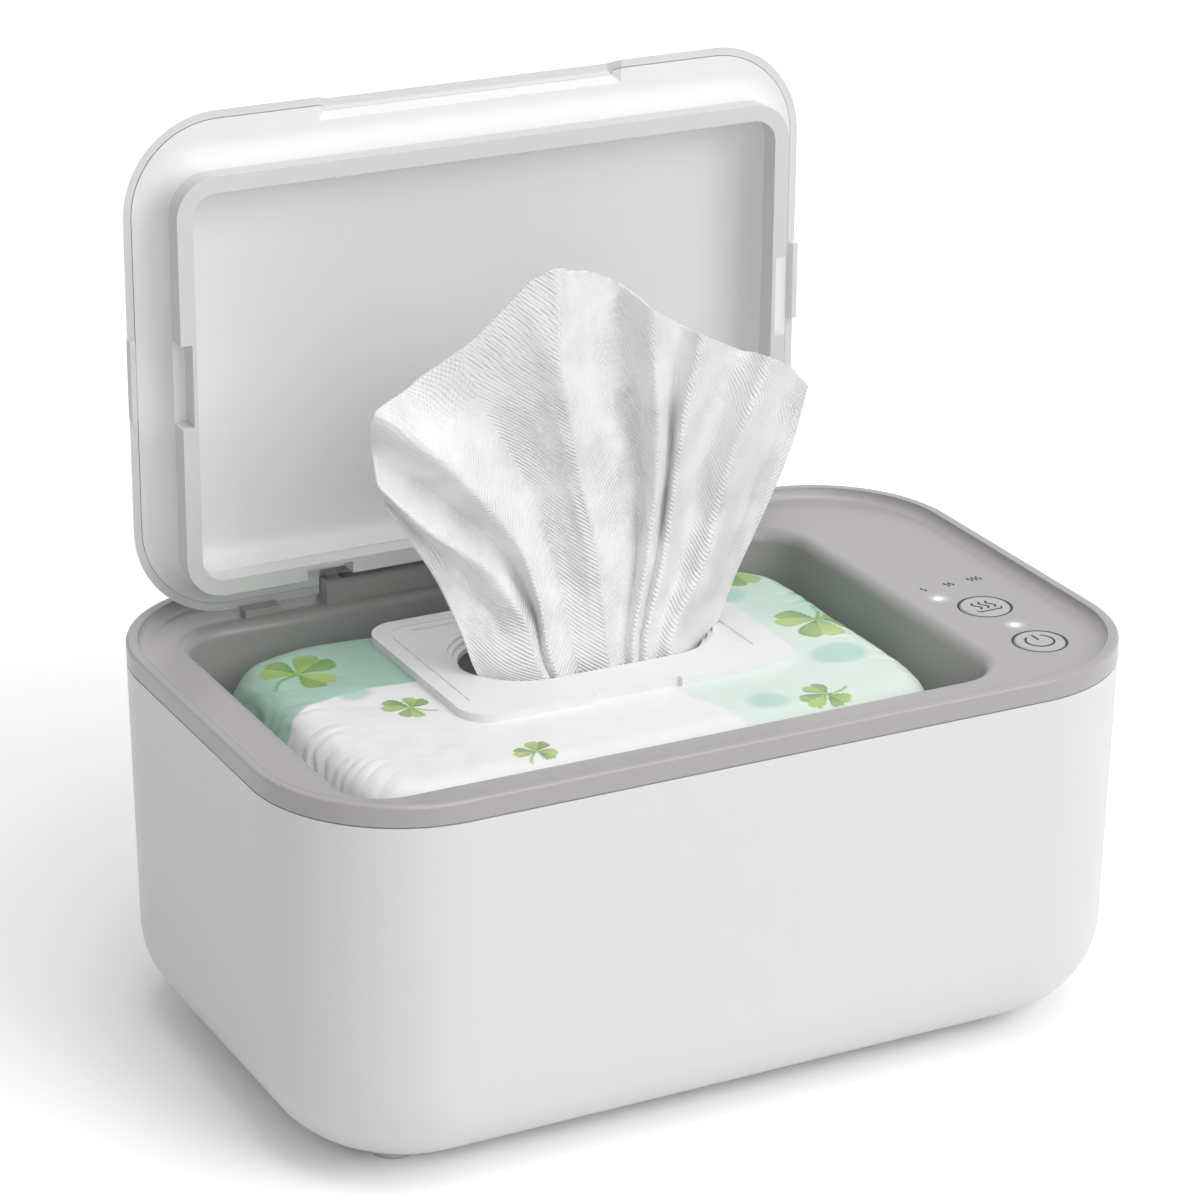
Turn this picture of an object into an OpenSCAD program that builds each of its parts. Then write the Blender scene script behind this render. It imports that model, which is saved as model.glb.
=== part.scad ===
// Baby wipe warmer with its lid open and a soft pack of wipes in the well.
// Millimetres, +Z up. The origin is on the table, under the middle of the housing.

/* [Housing] */
// Width of the housing at the rim, left to right
body_w = 250; // [242:1:262]
// Depth of the housing at the rim, front to back
body_d = 160; // [156:1:172]
// Height of the rim above the table
rim_h = 110.5; // [107:0.5:122]
// Corner radius in plan, at the rim
body_r = 41; // [38:0.5:44]
// Radius of the bottom edge
base_r = 26; // [20:0.5:29]
// How far the walls lean in from the rim to the base
lean_in = 1.6; // [0.4:0.1:2.4]
// Wall and floor thickness of the housing
wall = 2.4; // [1.8:0.1:2.8]

/* [Feet] */
// Height of the feet below the housing
foot_h = 2.5; // [1.5:0.1:4]
// Radius of a foot
foot_r = 7; // [5:0.1:8]
// Distance from the housing's left or right side to a foot's middle
foot_side = 33; // [31:0.5:39]
// Distance from the housing's front or back to a foot's middle
foot_end = 31; // [29:0.5:34]
// Depth of the recess that holds a foot
foot_seat = 0.8; // [0.4:0.1:1.2]

/* [Rim and deck] */
// Height of the grey band that shows above the housing
band_h = 6; // [5:0.5:8]
// Width of the raised lip
lip_w = 3; // [2.4:0.1:3.6]
// Rounding of the lip's two edges
lip_edge = 0.8; // [0.3:0.1:1.1]
// How far the deck lies below the lip
deck_drop = 3; // [2.2:0.1:4]
// Thickness of the deck
deck_t = 2.4; // [1.8:0.1:2.8]
// Length of the skirt that plugs into the housing
skirt_l = 7; // [4:0.5:10]
// Thickness of the skirt
skirt_t = 1.8; // [1.2:0.1:2.4]
// Height of the fine seam between the housing and the band
seam_h = 0.4; // [0.2:0.1:0.8]
// Depth of the fine seam
seam_deep = 0.8; // [0.4:0.1:1.2]

/* [Well] */
// Distance from the housing's left side to the well
well_left = 17; // [15:0.5:19]
// Distance from the well to the housing's right side, where the keys are
panel_w = 43; // [42:0.5:45]
// Distance from the housing's front to the well
well_front = 16.5; // [14.5:0.5:18]
// Distance from the well to the housing's back
well_back = 22.5; // [22:0.5:24]
// Corner radius of the well's mouth
well_r = 14; // [13:0.5:18]
// Depth of the well below the deck
well_h = 73.5; // [70:0.5:76]
// Rounding of the well's top edge
mouth_r = 3.5; // [2:0.1:4]
// Rounding between the well's walls and its floor
floor_r = 8; // [6:0.5:9]
// How far the well's walls lean in from top to bottom
well_lean = 1.8; // [0.5:0.1:2.4]
// Wall thickness of the well
well_t = 2.2; // [1.6:0.1:2.6]

/* [Lid] */
// Distance from the housing's left side to the closed lid
lid_left = 10; // [9:0.5:11]
// Distance from the closed lid to the housing's right side
lid_right = 38; // [37:0.5:39]
// Distance from the housing's front to the closed lid
lid_front = 4.8; // [4:0.1:5.6]
// Corner radius of the lid in plan
lid_r = 27; // [26:0.5:30]
// Height of the lid's dome
lid_h = 13; // [12:0.5:16]
// Radius of the dome's rounded side
dome_r = 22; // [20:0.5:24]
// Wall thickness of the lid
lid_wall = 2; // [1.5:0.1:2.4]
// Gap between the closed lid's edge and the deck
lid_gap = 2.8; // [2.6:0.1:3.6]
// How far the closed lid's back edge lies in front of the rim's back
lid_back = 14.7; // [14.4:0.1:15.2]
// How far the lid stands open at rest, in degrees
lid_open = 90; // [60:1:90]
// Thickness of the lid's inner moulding
inner_t = 1.6; // [1.2:0.1:2]
// Depth of the cove round the seal's pedestal
cove_r = 6; // [4:0.5:7]
// How far the recessed panel lies above the lid's edge
panel_up = 2; // [1:0.5:4]
// Rounding round the recessed panel
panel_r = 5; // [3:0.5:6]

/* [Lid details] */
// Length of the finger notch in the free edge
notch_l = 90; // [60:1:110]
// How far the finger notch reaches in from the free edge
notch_in = 6.5; // [5:0.5:7.5]
// Depth of the finger notch up into the lid
notch_up = 2.4; // [1.8:0.2:3]
// Width of the slope at the finger notch's three sides
notch_slope = 3; // [1:0.5:4]
// Length of the locating tab on each side of the lid
tab_l = 22; // [12:1:30]
// Height of a locating tab below the lid's edge
tab_h = 2.2; // [1:0.1:2.4]
// Thickness of a locating tab
tab_t = 1.5; // [1:0.1:2]

/* [Seal] */
// Distance from the lid's side edges to the seal
seal_side = 10; // [9.5:0.5:11]
// Distance from the lid's hinge edge to the seal
seal_back = 10; // [9.8:0.1:10.6]
// Distance from the lid's free edge to the seal
seal_front = 14; // [13.8:0.1:15]
// Corner radius of the seal's outside
seal_r = 11; // [9:0.5:12]
// Width of the seal
seal_w = 4.4; // [3.5:0.1:5]
// Thickness of the seal
seal_t = 6; // [4:0.5:7]
// Height of the pedestal below the lid's edge
pedestal_h = 7; // [6:0.5:8]
// Depth of the seal's notches
seal_cut = 3.3; // [2:0.1:3.4]
// Length of the notch in each side of the seal
side_cut_l = 23; // [12:1:30]
// Length of each notch beside the hinge
hinge_cut_l = 13.5; // [8:0.5:14]
// Distance from the hinge bracket's end to the middle of the notch beside it
hinge_cut_at = 2.5; // [1:0.5:5]

/* [Hinge] */
// Distance from the lid's left or right side to the hinge bracket
hinge_side = 54; // [50:1:60]
// Distance from the lid's hinge edge to the pin
pin_in = 1.3; // [1.2:0.1:1.6]
// Radius of the hinge pins
pin_r = 1; // [0.8:0.1:1.2]
// Radius of the bracket's barrel round the pins
barrel_r = 3.6; // [3.2:0.1:3.8]
// How far the bracket reaches in front of the pin
bracket_in = 4.8; // [4.4:0.1:5]
// Length of the pin inside the bracket
pin_deep = 6; // [4:0.5:10]
// Thickness of the bracket's wall in front of a lid ear and beside it
bracket_t = 1.6; // [1.2:0.1:1.8]
// Thickness of a lid ear
ear_t = 4.4; // [3:0.1:5]
// Radius of a lid ear
ear_r = 2.5; // [2.2:0.1:2.5]
// Thickness of the arm that joins an ear to the lid
arm_t = 3.1; // [2.6:0.1:3.4]
// Length of each rest pad under the lid's back edge
pad_l = 10.5; // [6:0.5:12]
// Height of a rest pad
pad_h = 2.1; // [1:0.1:2.4]
// Distance from the lid's left or right side to a rest pad's middle
pad_side = 35; // [32:1:38]

/* [Control panel] */
// Distance from the housing's right side to the middle of both buttons
button_side = 24.5; // [23:0.5:26]
// Distance from the housing's front to the middle of the power button
power_front = 30; // [29:0.5:32]
// Distance between the two buttons' middles
button_pitch = 27.7; // [25:0.1:30]
// Radius of a button cap
button_r = 7; // [6:0.1:7.4]
// How far a button stands above the deck
button_proud = 0.2; // [0:0.1:0.5]
// Travel of a button
button_travel = 0.6; // [0.4:0.1:0.8]
// Radius of a light pipe's tip
light_r = 0.9; // [0.6:0.1:1.2]
// Depth of the circuit board's top below the deck's underside
board_down = 10; // [9:0.5:12]
// Thickness of the circuit board
board_t = 1.6; // [1:0.1:2]
// Width of the circuit board
board_w = 25; // [22:1:26]
// Length of the circuit board
board_l = 64; // [62:1:66]

/* [Heater] */
// Distance from the well's left or right side to the heat spreader
plate_side = 20; // [17:1:28]
// Distance from the well's front or back to the heat spreader
plate_end = 26.5; // [25:0.5:30]
// Thickness of the heat spreader
plate_t = 1; // [0.6:0.1:1.4]
// Thickness of the heating film
film_t = 0.6; // [0.4:0.1:1]
// Thickness of the insulation pad
pad_t = 5; // [3:0.5:6]
// Thickness of the retaining plate
retainer_t = 1.5; // [1:0.1:2]
// Distance from the heat spreader's side to the retaining plate's side
retainer_in = 19; // [17:1:23]

/* [Power inlet] */
// Distance from the housing's right side to the inlet's middle
jack_side = 65; // [55:1:75]
// Height of the inlet above the table
jack_z = 40; // [38:1:55]
// Radius of the inlet's neck
jack_r = 5; // [4.5:0.1:6]
// Radius of the inlet's socket
socket_r = 2.9; // [2.4:0.1:3.1]
// Depth of the inlet's socket
socket_deep = 9; // [7:0.5:10]

/* [Pack of wipes] */
// Gap between the pack and the well's left side
pack_left = 6; // [5.5:0.5:10]
// Gap between the pack and the well's right side
pack_right = 8.5; // [7:0.5:14]
// Gap between the pack and the well's front and back
pack_end = 5; // [5:0.5:8]
// Height of the pack
pack_h = 68.4; // [60:0.2:68.6]
// Rounding of the pack's shoulders
pack_r = 9; // [9:0.5:16]
// Width of the dispenser frame
frame_w = 99; // [94:1:104]
// Length of the dispenser frame, front to back
frame_l = 70; // [64:1:72]
// Thickness of the dispenser frame
frame_t = 4; // [3.4:0.1:4.2]
// How deep the frame sits in the pack's soft top
frame_sink = 1.9; // [1.6:0.1:2.4]
// Corner radius of the dispenser frame
frame_r = 9; // [6:0.5:12]
// Distance from the pack's left side to the frame
frame_left = 45; // [38:0.5:50]
// Distance from the pack's back to the frame
frame_back = 6.5; // [6.5:0.5:12]
// Width of the mouth in the frame
mouth_w = 76; // [66:1:80]
// Length of the mouth in the frame, front to back
mouth_l = 40; // [34:1:42]
// Width of the recess for the frame's latch
latch_w = 25; // [16:1:30]
// Depth of the latch's recess
latch_in = 1.8; // [1:0.1:2.4]
// How far the latch's lip stands out in front of the frame
latch_out = 2.4; // [1:0.1:3]
// Distance from the frame's edge to the fine groove on it
groove_in = 4.5; // [3.5:0.1:6]

/* [Wipe] */
// Height of the wipe's tip above the dispenser frame
wipe_h = 108; // [90:1:116]
// Width of the wipe at its widest
wipe_w = 128; // [110:1:140]
// Thickness of the wipe
wipe_t = 1.2; // [0.8:0.1:1.6]
// Depth of the folds at the mouth
slot_fold = 2.4; // [1:0.2:3]
// Number of folds across the wipe
wipe_folds = 4.5; // [3:0.5:6]

/* [Hidden] */
$fn = 64;
clear = 0.3;      // clearance round anything that moves
snug = 0.2;       // clearance of a plugged joint
lap = 0.5;        // overlap of two shapes of one moulding

white = [0.95, 0.95, 0.95];
grey = [0.70, 0.69, 0.69];
steel = [0.75, 0.76, 0.78];

// Heights
base_z = foot_h;
band_z = rim_h - band_h;
deck_z = rim_h - deck_drop;
deck_under = deck_z - deck_t;
well_z = deck_z - well_h;          // top of the well's floor
tub_under = well_z - well_t;       // underside of the well's floor
lid_z = deck_z + lid_gap;          // the closed lid's edge, and the hinge pins

// Plan places
foot_x = body_w / 2 - foot_side;
foot_y = body_d / 2 - foot_end;
well_w = body_w - well_left - panel_w;
well_l = body_d - well_front - well_back;
well_x = (well_left - panel_w) / 2;
well_y = (well_front - well_back) / 2;
lid_w = body_w - lid_left - lid_right;
lid_l = body_d - lid_front - lid_back;
lid_x = (lid_left - lid_right) / 2;
button_x = body_w / 2 - button_side;
power_y = power_front - body_d / 2;
heat_y = power_y + button_pitch;
jack_x = body_w / 2 - jack_side;
lean = atan(lean_in / (band_z - base_z));
lid_back_y = body_d / 2 - lid_back;
lid_y = lid_back_y - lid_l / 2;
hinge_y = lid_back_y - pin_in;
seal_out_w = lid_w - 2 * seal_side;
seal_out_l = lid_l - seal_back - seal_front;
seal_y = lid_back_y - seal_back - seal_out_l / 2;
tab_y = lid_y;
hinge_l = lid_w - 2 * hinge_side;
pad_at = lid_w / 2 - pad_side;
pad_d = 4.1;

// Dome of the lid, in the sweep's own plane
dome_cz = lid_h - dome_r;
dome_cu = lid_r - sqrt(dome_r * dome_r - dome_cz * dome_cz);
dome_in = dome_r - lid_wall;
function dome_edge(h) = dome_cu + sqrt(dome_in * dome_in - (h - dome_cz) * (h - dome_cz));

// Posts that the tub screws go into
post_r = 4.5;
post_dx = well_w / 2 - 29;
post_dy = well_l / 2 - 17.5;
boss_up = 2.4;
screw_r = 1.5;
screw_head_r = 2.8;
screw_head_t = 1.6;
screw_bite = 9;
post_z = base_z + wall + boss_up;

// Heater stack, downwards from the well's floor
plate_w = well_w - 2 * plate_side;
plate_l = well_l - 2 * plate_end;
retainer_w = plate_w - 2 * retainer_in;
film_z = tub_under - plate_t;
pad_top = film_z - film_t;
retainer_top = pad_top - pad_t;
retainer_l = 2 * post_dy + 5;
ear_screw_x = retainer_w / 2 - 6;
stud_y = post_dy - 1;
stud_r = 3;
window_w = 30;
window_l = plate_l - 24;
small_screw_r = 1;
small_head_r = 2;
small_head_t = 1.4;
small_bite = 4.5;
sensor_x = -20;
sensor_size = [12, 6, 3];
fuse_x = 20;
fuse_r = 2;
fuse_l = 22;
fuse_body_l = 14;

// Control panel
hole_r = button_r + clear;
flange_r = button_r + 1.4;
flange_gap = 0.5;
flange_z = deck_under - flange_gap;
flange_t = 1.4;
board_z = deck_under - board_down;
board_x = button_x - 1;
board_dy = 8;
board_y = (heat_y + power_y) / 2 + board_dy;
board_screws_x = board_w / 2 - 3;
board_screws_y = board_l / 2 - 3;
board_boss_r = 2.6;
switch_w = 6;
switch_t = 3;
plunger_r = 1.5;
plunger_up = 1.4;
plunger_in = 1.5;
stem_r = 2;
button_ys = [heat_y, power_y];
light_at = [[-8.5, 10.8], [0.3, -14.7]];   // from the heat button's middle

// Pack of wipes
pack_z = well_z + 0.3;
pack_w = well_w - pack_left - pack_right;
pack_l = well_l - 2 * pack_end;
pack_top = pack_z + pack_h;
pack_x = well_x + (pack_left - pack_right) / 2;
pack_y = well_y;
frame_x = pack_x - pack_w / 2 + frame_left + frame_w / 2;
frame_y = pack_y + pack_l / 2 - frame_back - frame_l / 2;
frame_low = pack_top - frame_sink;
frame_top = frame_low + frame_t;
latch_t = 1.2;
pocket_deep = 10;
mouth_step = 1.4;

// ---------- shapes that repeat ----------

// Flat rounded rectangle
module slab_2d(w, l, r) {
    square([w - 2 * r, l], center = true);
    square([w, l - 2 * r], center = true);
    for (x = [-1, 1], y = [-1, 1])
        translate([x * (w / 2 - r), y * (l / 2 - r)]) circle(r);
}

module slab(w, l, r, h) {
    linear_extrude(h) slab_2d(w, l, r);
}

// Sweeps a profile round a rounded rectangle. The profile's first coordinate is
// measured outwards from the corner's centre, its second is the height.
module sweep(w, l, r) {
    for (k = [0:3]) {
        along = (k % 2 == 0) ? l : w;
        across = (k % 2 == 0) ? w : l;
        rotate([0, 0, 90 * k]) {
            translate([across / 2 - r, along / 2 - r, 0]) {
                rotate_extrude(angle = 90) children();
                rotate([90, 0, 0]) linear_extrude(along - 2 * r) children();
            }
        }
    }
}

// Fills the middle of a sweep whose profile starts at its corner centres
module core(w, l, r, z, h) {
    translate([-(w / 2 - r), -(l / 2 - r), z]) cube([w - 2 * r, l - 2 * r, h]);
}

module at_four(dx, dy) {
    for (x = [-dx, dx], y = [-dy, dy]) translate([x, y, 0]) children();
}

// Screw with its head down, from its head's underside at z = 0
module screw_up(r, head_r, head_t, l) {
    translate([0, 0, -head_t]) cylinder(r = head_r, h = head_t);
    cylinder(r = r, h = l);
}

// Round lead through a list of points
module lead(points, r) {
    for (i = [0:len(points) - 2]) {
        d = points[i + 1] - points[i];
        translate(points[i]) rotate([0, acos(d[2] / norm(d)), atan2(d[1], d[0])])
            cylinder(r = r, h = norm(d));
    }
    for (i = [1:len(points) - 2]) translate(points[i]) sphere(r + 0.3);
}

// Puts the lid's pieces, which are drawn closed, at their open rest pose
module opened() {
    translate([0, hinge_y, lid_z]) rotate([-lid_open, 0, 0]) translate([0, -hinge_y, -lid_z])
        children();
}

// ---------- housing ----------

function wall_u(z, inset) = body_r - (band_z - z) * tan(lean) - inset;
base_cz = base_z + base_r;
base_cu = wall_u(base_cz, base_r);

// Section of everything inside the housing's outer face, moved in by inset
module housing_section(inset, over) {
    r = base_r - inset;
    polygon([[-over, base_cz - r], [base_cu, base_cz - r], [base_cu, base_cz], [base_cu + r, base_cz],
        [wall_u(band_z + over, inset), band_z + over], [-over, band_z + over]]);
    intersection() {
        translate([base_cu, base_cz]) circle(r);
        translate([base_cu, base_cz - r]) square(r);
    }
}

module outer_housing() {
    color(white) difference() {
        union() {
            sweep(body_w, body_d, body_r) difference() {
                housing_section(0, 0);
                housing_section(wall, 1);
            }
            core(body_w, body_d, body_r, base_z, wall);
            translate([well_x, well_y, base_z + wall - lap]) at_four(post_dx, post_dy)
                cylinder(r = post_r + 1.5, h = boss_up + lap);
            jack_boss();
        }
        at_four(foot_x, foot_y) translate([0, 0, base_z - 1]) cylinder(r = foot_r + 0.1, h = 1 + foot_seat);
        translate([well_x, well_y, 0]) at_four(post_dx, post_dy) {
            translate([0, 0, base_z - 1]) cylinder(r = screw_r + snug, h = 10);
            translate([0, 0, base_z - 1]) cylinder(r = screw_head_r + snug, h = 1 + screw_head_t + 0.4);
        }
        jack_way();
    }
}

// Flat seat for the inlet inside the back wall, and the hole for its neck
jack_wall_y = body_d / 2 - (band_z - jack_z) * tan(lean);
jack_seat_y = jack_wall_y - wall - 1;
module jack_boss() {
    translate([jack_x, jack_seat_y, jack_z]) rotate([-90, 0, 0])
        cylinder(r = jack_r + 3.5, h = jack_wall_y - jack_seat_y - 1);
}
module jack_way() {
    translate([jack_x, jack_seat_y - 1, jack_z]) rotate([-90, 0, 0])
        cylinder(r = jack_r + 0.1, h = 10);
}

module rubber_feet() {
    color([0.85, 0.85, 0.85]) at_four(foot_x, foot_y) {
        cylinder(r1 = foot_r - 0.8, r2 = foot_r, h = 1);
        translate([0, 0, 1]) cylinder(r = foot_r, h = foot_h + foot_seat - 1);
    }
}

module tub_screws() {
    color(steel) translate([well_x, well_y, base_z + screw_head_t + 0.4]) at_four(post_dx, post_dy)
        screw_up(screw_r, screw_head_r, screw_head_t, post_z - base_z - 2 + screw_bite);
}

// ---------- liner tub: band, lip, deck, well and hinge bracket in one moulding ----------

module rim_section() {
    in_u = body_r - lip_w;
    skirt_u = wall_u(band_z, wall) - snug;
    // lip with rounded edges
    translate([in_u, band_z + seam_h]) square([lip_w, band_h - seam_h - lip_edge]);
    translate([in_u, band_z]) square([lip_w - seam_deep, seam_h + lap]);
    translate([in_u + lip_edge, rim_h - lip_edge - lap]) square([lip_w - 2 * lip_edge, lip_edge + lap]);
    for (u = [in_u + lip_edge, body_r - lip_edge]) translate([u, rim_h - lip_edge]) circle(lip_edge);
    // hollow blend between lip and deck
    difference() {
        translate([in_u - deck_drop, deck_z - lap]) square([deck_drop + lap, deck_drop + lap]);
        translate([in_u - deck_drop, rim_h]) circle(deck_drop);
        translate([in_u + lip_edge, rim_h - lip_edge]) square(deck_drop);
    }
    translate([in_u - deck_drop - lap, deck_under]) square([deck_drop + lip_w + lap, deck_t]);
    translate([skirt_u - skirt_t, band_z - skirt_l]) square([skirt_t, skirt_l + deck_z - band_z]);
}

module well_section() {
    face = well_r - 1;
    top = deck_z - mouth_r;
    foot = well_z + floor_r;
    low = face - well_lean;
    // rounded mouth
    intersection() {
        translate([face + mouth_r, top]) circle(mouth_r);
        translate([face, top]) square(mouth_r);
    }
    translate([face + mouth_r, deck_under]) square([2, deck_t]);
    // leaning wall
    polygon([[face, top], [low, foot], [low + well_t, foot], [face + mouth_r, top - 1], [face + mouth_r, top]]);
    // floor and its rounding
    intersection() {
        difference() {
            translate([low - floor_r, foot]) circle(floor_r + well_t);
            translate([low - floor_r, foot]) circle(floor_r);
        }
        translate([low - floor_r, foot - floor_r - well_t]) square(floor_r + well_t);
    }
    translate([0, tub_under]) square([low - floor_r, well_t]);
}

bracket_top = lid_z + barrel_r;
bracket_y = hinge_y - bracket_in;
module hinge_bracket() {
    round = 1.5;
    translate([lid_x - hinge_l / 2, 0, 0]) rotate([90, 0, 90]) linear_extrude(hinge_l) {
        translate([hinge_y, lid_z]) circle(barrel_r);
        translate([bracket_y, deck_z - lap]) square([bracket_in, bracket_top - deck_z - round + lap]);
        translate([bracket_y + round, bracket_top - round - lap]) square([bracket_in - round, round + lap]);
        translate([bracket_y + round, bracket_top - round]) circle(round);
    }
}

// Room for a lid ear behind the bracket's front wall, open to the back
module ear_room() {
    w = ear_t + 2 * clear;
    translate([-w / 2, bracket_y + bracket_t - hinge_y, deck_z - lid_z])
        cube([w, bracket_in + barrel_r, bracket_top - deck_z + 1]);
}

// Pins, drawn from inside the bracket's middle out into its end wall
pin_end = 1.1;
module pins() {
    l = pin_deep + ear_t + 2 * clear + pin_end;
    for (s = [-1, 1]) translate([lid_x + s * (hinge_l / 2 - bracket_t + pin_end - l), hinge_y, lid_z])
        rotate([0, s * 90, 0]) cylinder(r = pin_r, h = l);
}

module board_bosses() {
    translate([board_x, board_y, board_z]) at_four(board_screws_x, board_screws_y)
        cylinder(r = board_boss_r, h = board_down + lap);
}

module liner_tub() {
    color(grey) difference() {
        union() {
            sweep(body_w, body_d, body_r) rim_section();
            translate([0, 0, deck_under]) linear_extrude(deck_t) difference() {
                slab_2d(body_w - 2 * (lip_w + deck_drop), body_d - 2 * (lip_w + deck_drop),
                    body_r - lip_w - deck_drop);
                translate([well_x, well_y])
                    slab_2d(well_w + 2 * mouth_r, well_l + 2 * mouth_r, well_r + mouth_r);
            }
            translate([well_x, well_y, 0]) {
                sweep(well_w, well_l, well_r) well_section();
                core(well_w, well_l, well_r, tub_under, well_t);
                at_four(post_dx, post_dy) translate([0, 0, post_z])
                    cylinder(r = post_r, h = tub_under - post_z + lap);
                at_four(ear_screw_x, stud_y) translate([0, 0, retainer_top])
                    cylinder(r = stud_r, h = tub_under - retainer_top + lap);
            }
            hinge_bracket();
            for (s = [-1, 1]) translate([lid_x + s * pad_at - pad_l / 2, hinge_y - pad_d - 0.4, deck_z - lap])
                cube([pad_l, pad_d, pad_h + lap]);
            board_bosses();
        }
        for (y = button_ys) translate([button_x, y, deck_under - 1]) cylinder(r = hole_r, h = deck_t + 2);
        for (p = light_at) translate([button_x + p[0], heat_y + p[1], deck_under - 1])
            cylinder(r = light_r + 0.05, h = deck_t + 2);
        translate([board_x, board_y, board_z - 1]) at_four(board_screws_x, board_screws_y)
            cylinder(r = small_screw_r, h = small_bite + 1.5);
        translate([well_x, well_y, 0]) {
            at_four(post_dx, post_dy) translate([0, 0, post_z - 1]) cylinder(r = screw_r, h = screw_bite + 2);
            at_four(ear_screw_x, stud_y) translate([0, 0, retainer_top - 1])
                cylinder(r = small_screw_r, h = small_bite + 1.5);
        }
        at_ears() ear_room();
        pins();
    }
}

// ---------- heater under the well's floor ----------

module heat_spreader() {
    color([0.82, 0.83, 0.85]) translate([well_x, well_y, film_z]) slab(plate_w, plate_l, 6, plate_t);
}

module heater_film() {
    color([0.85, 0.50, 0.15]) translate([well_x, well_y, pad_top])
        slab(plate_w - 6, plate_l - 6, 4, film_t);
}

module insulation_pad() {
    room = 2 * fuse_r + 0.4;
    color([0.35, 0.35, 0.37]) translate([well_x, well_y, retainer_top]) difference() {
        slab(plate_w - 2, plate_l - 2, 5, pad_t);
        for (p = [[sensor_x, sensor_size[0]], [fuse_x, fuse_l]])
            translate([p[0] - p[1] / 2 - clear, -room, pad_t - room])
                cube([p[1] + 2 * clear, 2 * room, room + 1]);
        // way out for the heater's leads
        translate([plate_w / 2 - heater_lead_in - 3, -3, -1])
            cube([heater_lead_in + 3, lead_pitch + 6, pad_t + 2]);
    }
}

module heater_retainer() {
    color(steel) translate([well_x, well_y, retainer_top - retainer_t]) difference() {
        slab(retainer_w, retainer_l, 5, retainer_t);
        at_four(ear_screw_x, stud_y) translate([0, 0, -1]) cylinder(r = small_screw_r + snug, h = 4);
        for (x = [-24, 24]) translate([x, 0, -1]) slab(window_w, window_l, 5, 4);
    }
}

module retainer_screws() {
    color(steel) translate([well_x, well_y, retainer_top - retainer_t]) at_four(ear_screw_x, stud_y)
        screw_up(small_screw_r, small_head_r, small_head_t, retainer_t + small_bite);
}

module thermal_fuse() {
    color([0.80, 0.74, 0.60]) translate([well_x + fuse_x - fuse_l / 2, well_y, pad_top - fuse_r])
        rotate([0, 90, 0]) {
            cylinder(r = 0.5, h = fuse_l);
            translate([0, 0, (fuse_l - fuse_body_l) / 2]) cylinder(r = fuse_r, h = fuse_body_l);
        }
}

module temperature_sensor() {
    color([0.15, 0.15, 0.17]) translate([well_x + sensor_x, well_y, pad_top - sensor_size[2] / 2])
        cube(sensor_size, center = true);
}

// ---------- control panel ----------

module control_board() {
    color([0.10, 0.40, 0.22]) translate([board_x, board_y, board_z - board_t]) difference() {
        slab(board_w, board_l, 2, board_t);
        translate([0, 0, -1]) at_four(board_screws_x, board_screws_y) cylinder(r = small_screw_r + snug, h = 4);
    }
}

module board_screws() {
    color(steel) translate([board_x, board_y, board_z - board_t]) at_four(board_screws_x, board_screws_y)
        screw_up(small_screw_r, small_head_r, small_head_t, board_t + small_bite);
}

module button_switches() {
    color([0.12, 0.12, 0.13]) for (y = button_ys) translate([button_x, y, board_z]) difference() {
        translate([-switch_w / 2, -switch_w / 2, 0]) cube([switch_w, switch_w, switch_t]);
        translate([0, 0, switch_t - plunger_in - button_travel - 0.4]) cylinder(r = plunger_r + snug, h = switch_t);
    }
}

led_at = [[-8.5, 10.8], [0.3, -14.7], [0.3, 11.2], [6.5, 11.6]];
led_t = 1.2;
module indicator_leds() {
    color([0.95, 0.93, 0.80]) for (p = led_at)
        translate([button_x + p[0] - 1, heat_y + p[1] - 1, board_z]) cube([2, 2, led_t]);
}

module light_pipes() {
    color([0.97, 0.98, 1.0]) for (p = light_at) translate([button_x + p[0], heat_y + p[1], 0]) {
        translate([0, 0, board_z + led_t + 0.1]) cylinder(r = light_r + 0.6, h = board_down - led_t - 0.1);
        translate([0, 0, deck_under - lap]) cylinder(r = light_r, h = deck_t + lap);
    }
}

// Cap, retaining flange and stem of a button
module button_at(y) {
    color([0.78, 0.78, 0.76]) translate([button_x, y, 0]) {
        top = deck_z + button_proud;
        translate([0, 0, top - 0.4]) cylinder(r1 = button_r, r2 = button_r - 0.4, h = 0.4);
        translate([0, 0, flange_z - lap]) cylinder(r = button_r, h = top - 0.4 - flange_z + lap);
        translate([0, 0, flange_z - flange_t]) cylinder(r = flange_r, h = flange_t);
        stem_z = board_z + switch_t + plunger_up;
        translate([0, 0, stem_z]) cylinder(r = stem_r, h = flange_z - flange_t - stem_z + lap);
    }
}

module plunger_at(y) {
    color([0.9, 0.9, 0.9]) translate([button_x, y, board_z + switch_t - plunger_in])
        cylinder(r = plunger_r, h = plunger_in + plunger_up);
}

module heat_button() { button_at(heat_y); }
module power_button() { button_at(power_y); }
module heat_plunger() { plunger_at(heat_y); }
module power_plunger() { plunger_at(power_y); }

// ---------- power inlet and inner leads ----------

jack_block = 12;
jack_block_y = jack_seat_y - jack_block;
jack_face_y = jack_wall_y - 0.6;
module power_jack() {
    color([0.13, 0.13, 0.14]) {
        difference() {
            union() {
                translate([jack_x - jack_block / 2, jack_block_y, jack_z - jack_block / 2]) cube(jack_block);
                translate([jack_x, jack_seat_y - 1, jack_z]) rotate([-90, 0, 0])
                    cylinder(r = jack_r, h = jack_face_y - jack_seat_y + 1);
            }
            translate([jack_x, jack_face_y - socket_deep, jack_z]) rotate([-90, 0, 0])
                cylinder(r = socket_r, h = socket_deep + 1);
        }
        translate([jack_x, jack_face_y - socket_deep - 1, jack_z]) rotate([-90, 0, 0])
            cylinder(r = 1, h = socket_deep - 1);
    }
}

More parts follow.
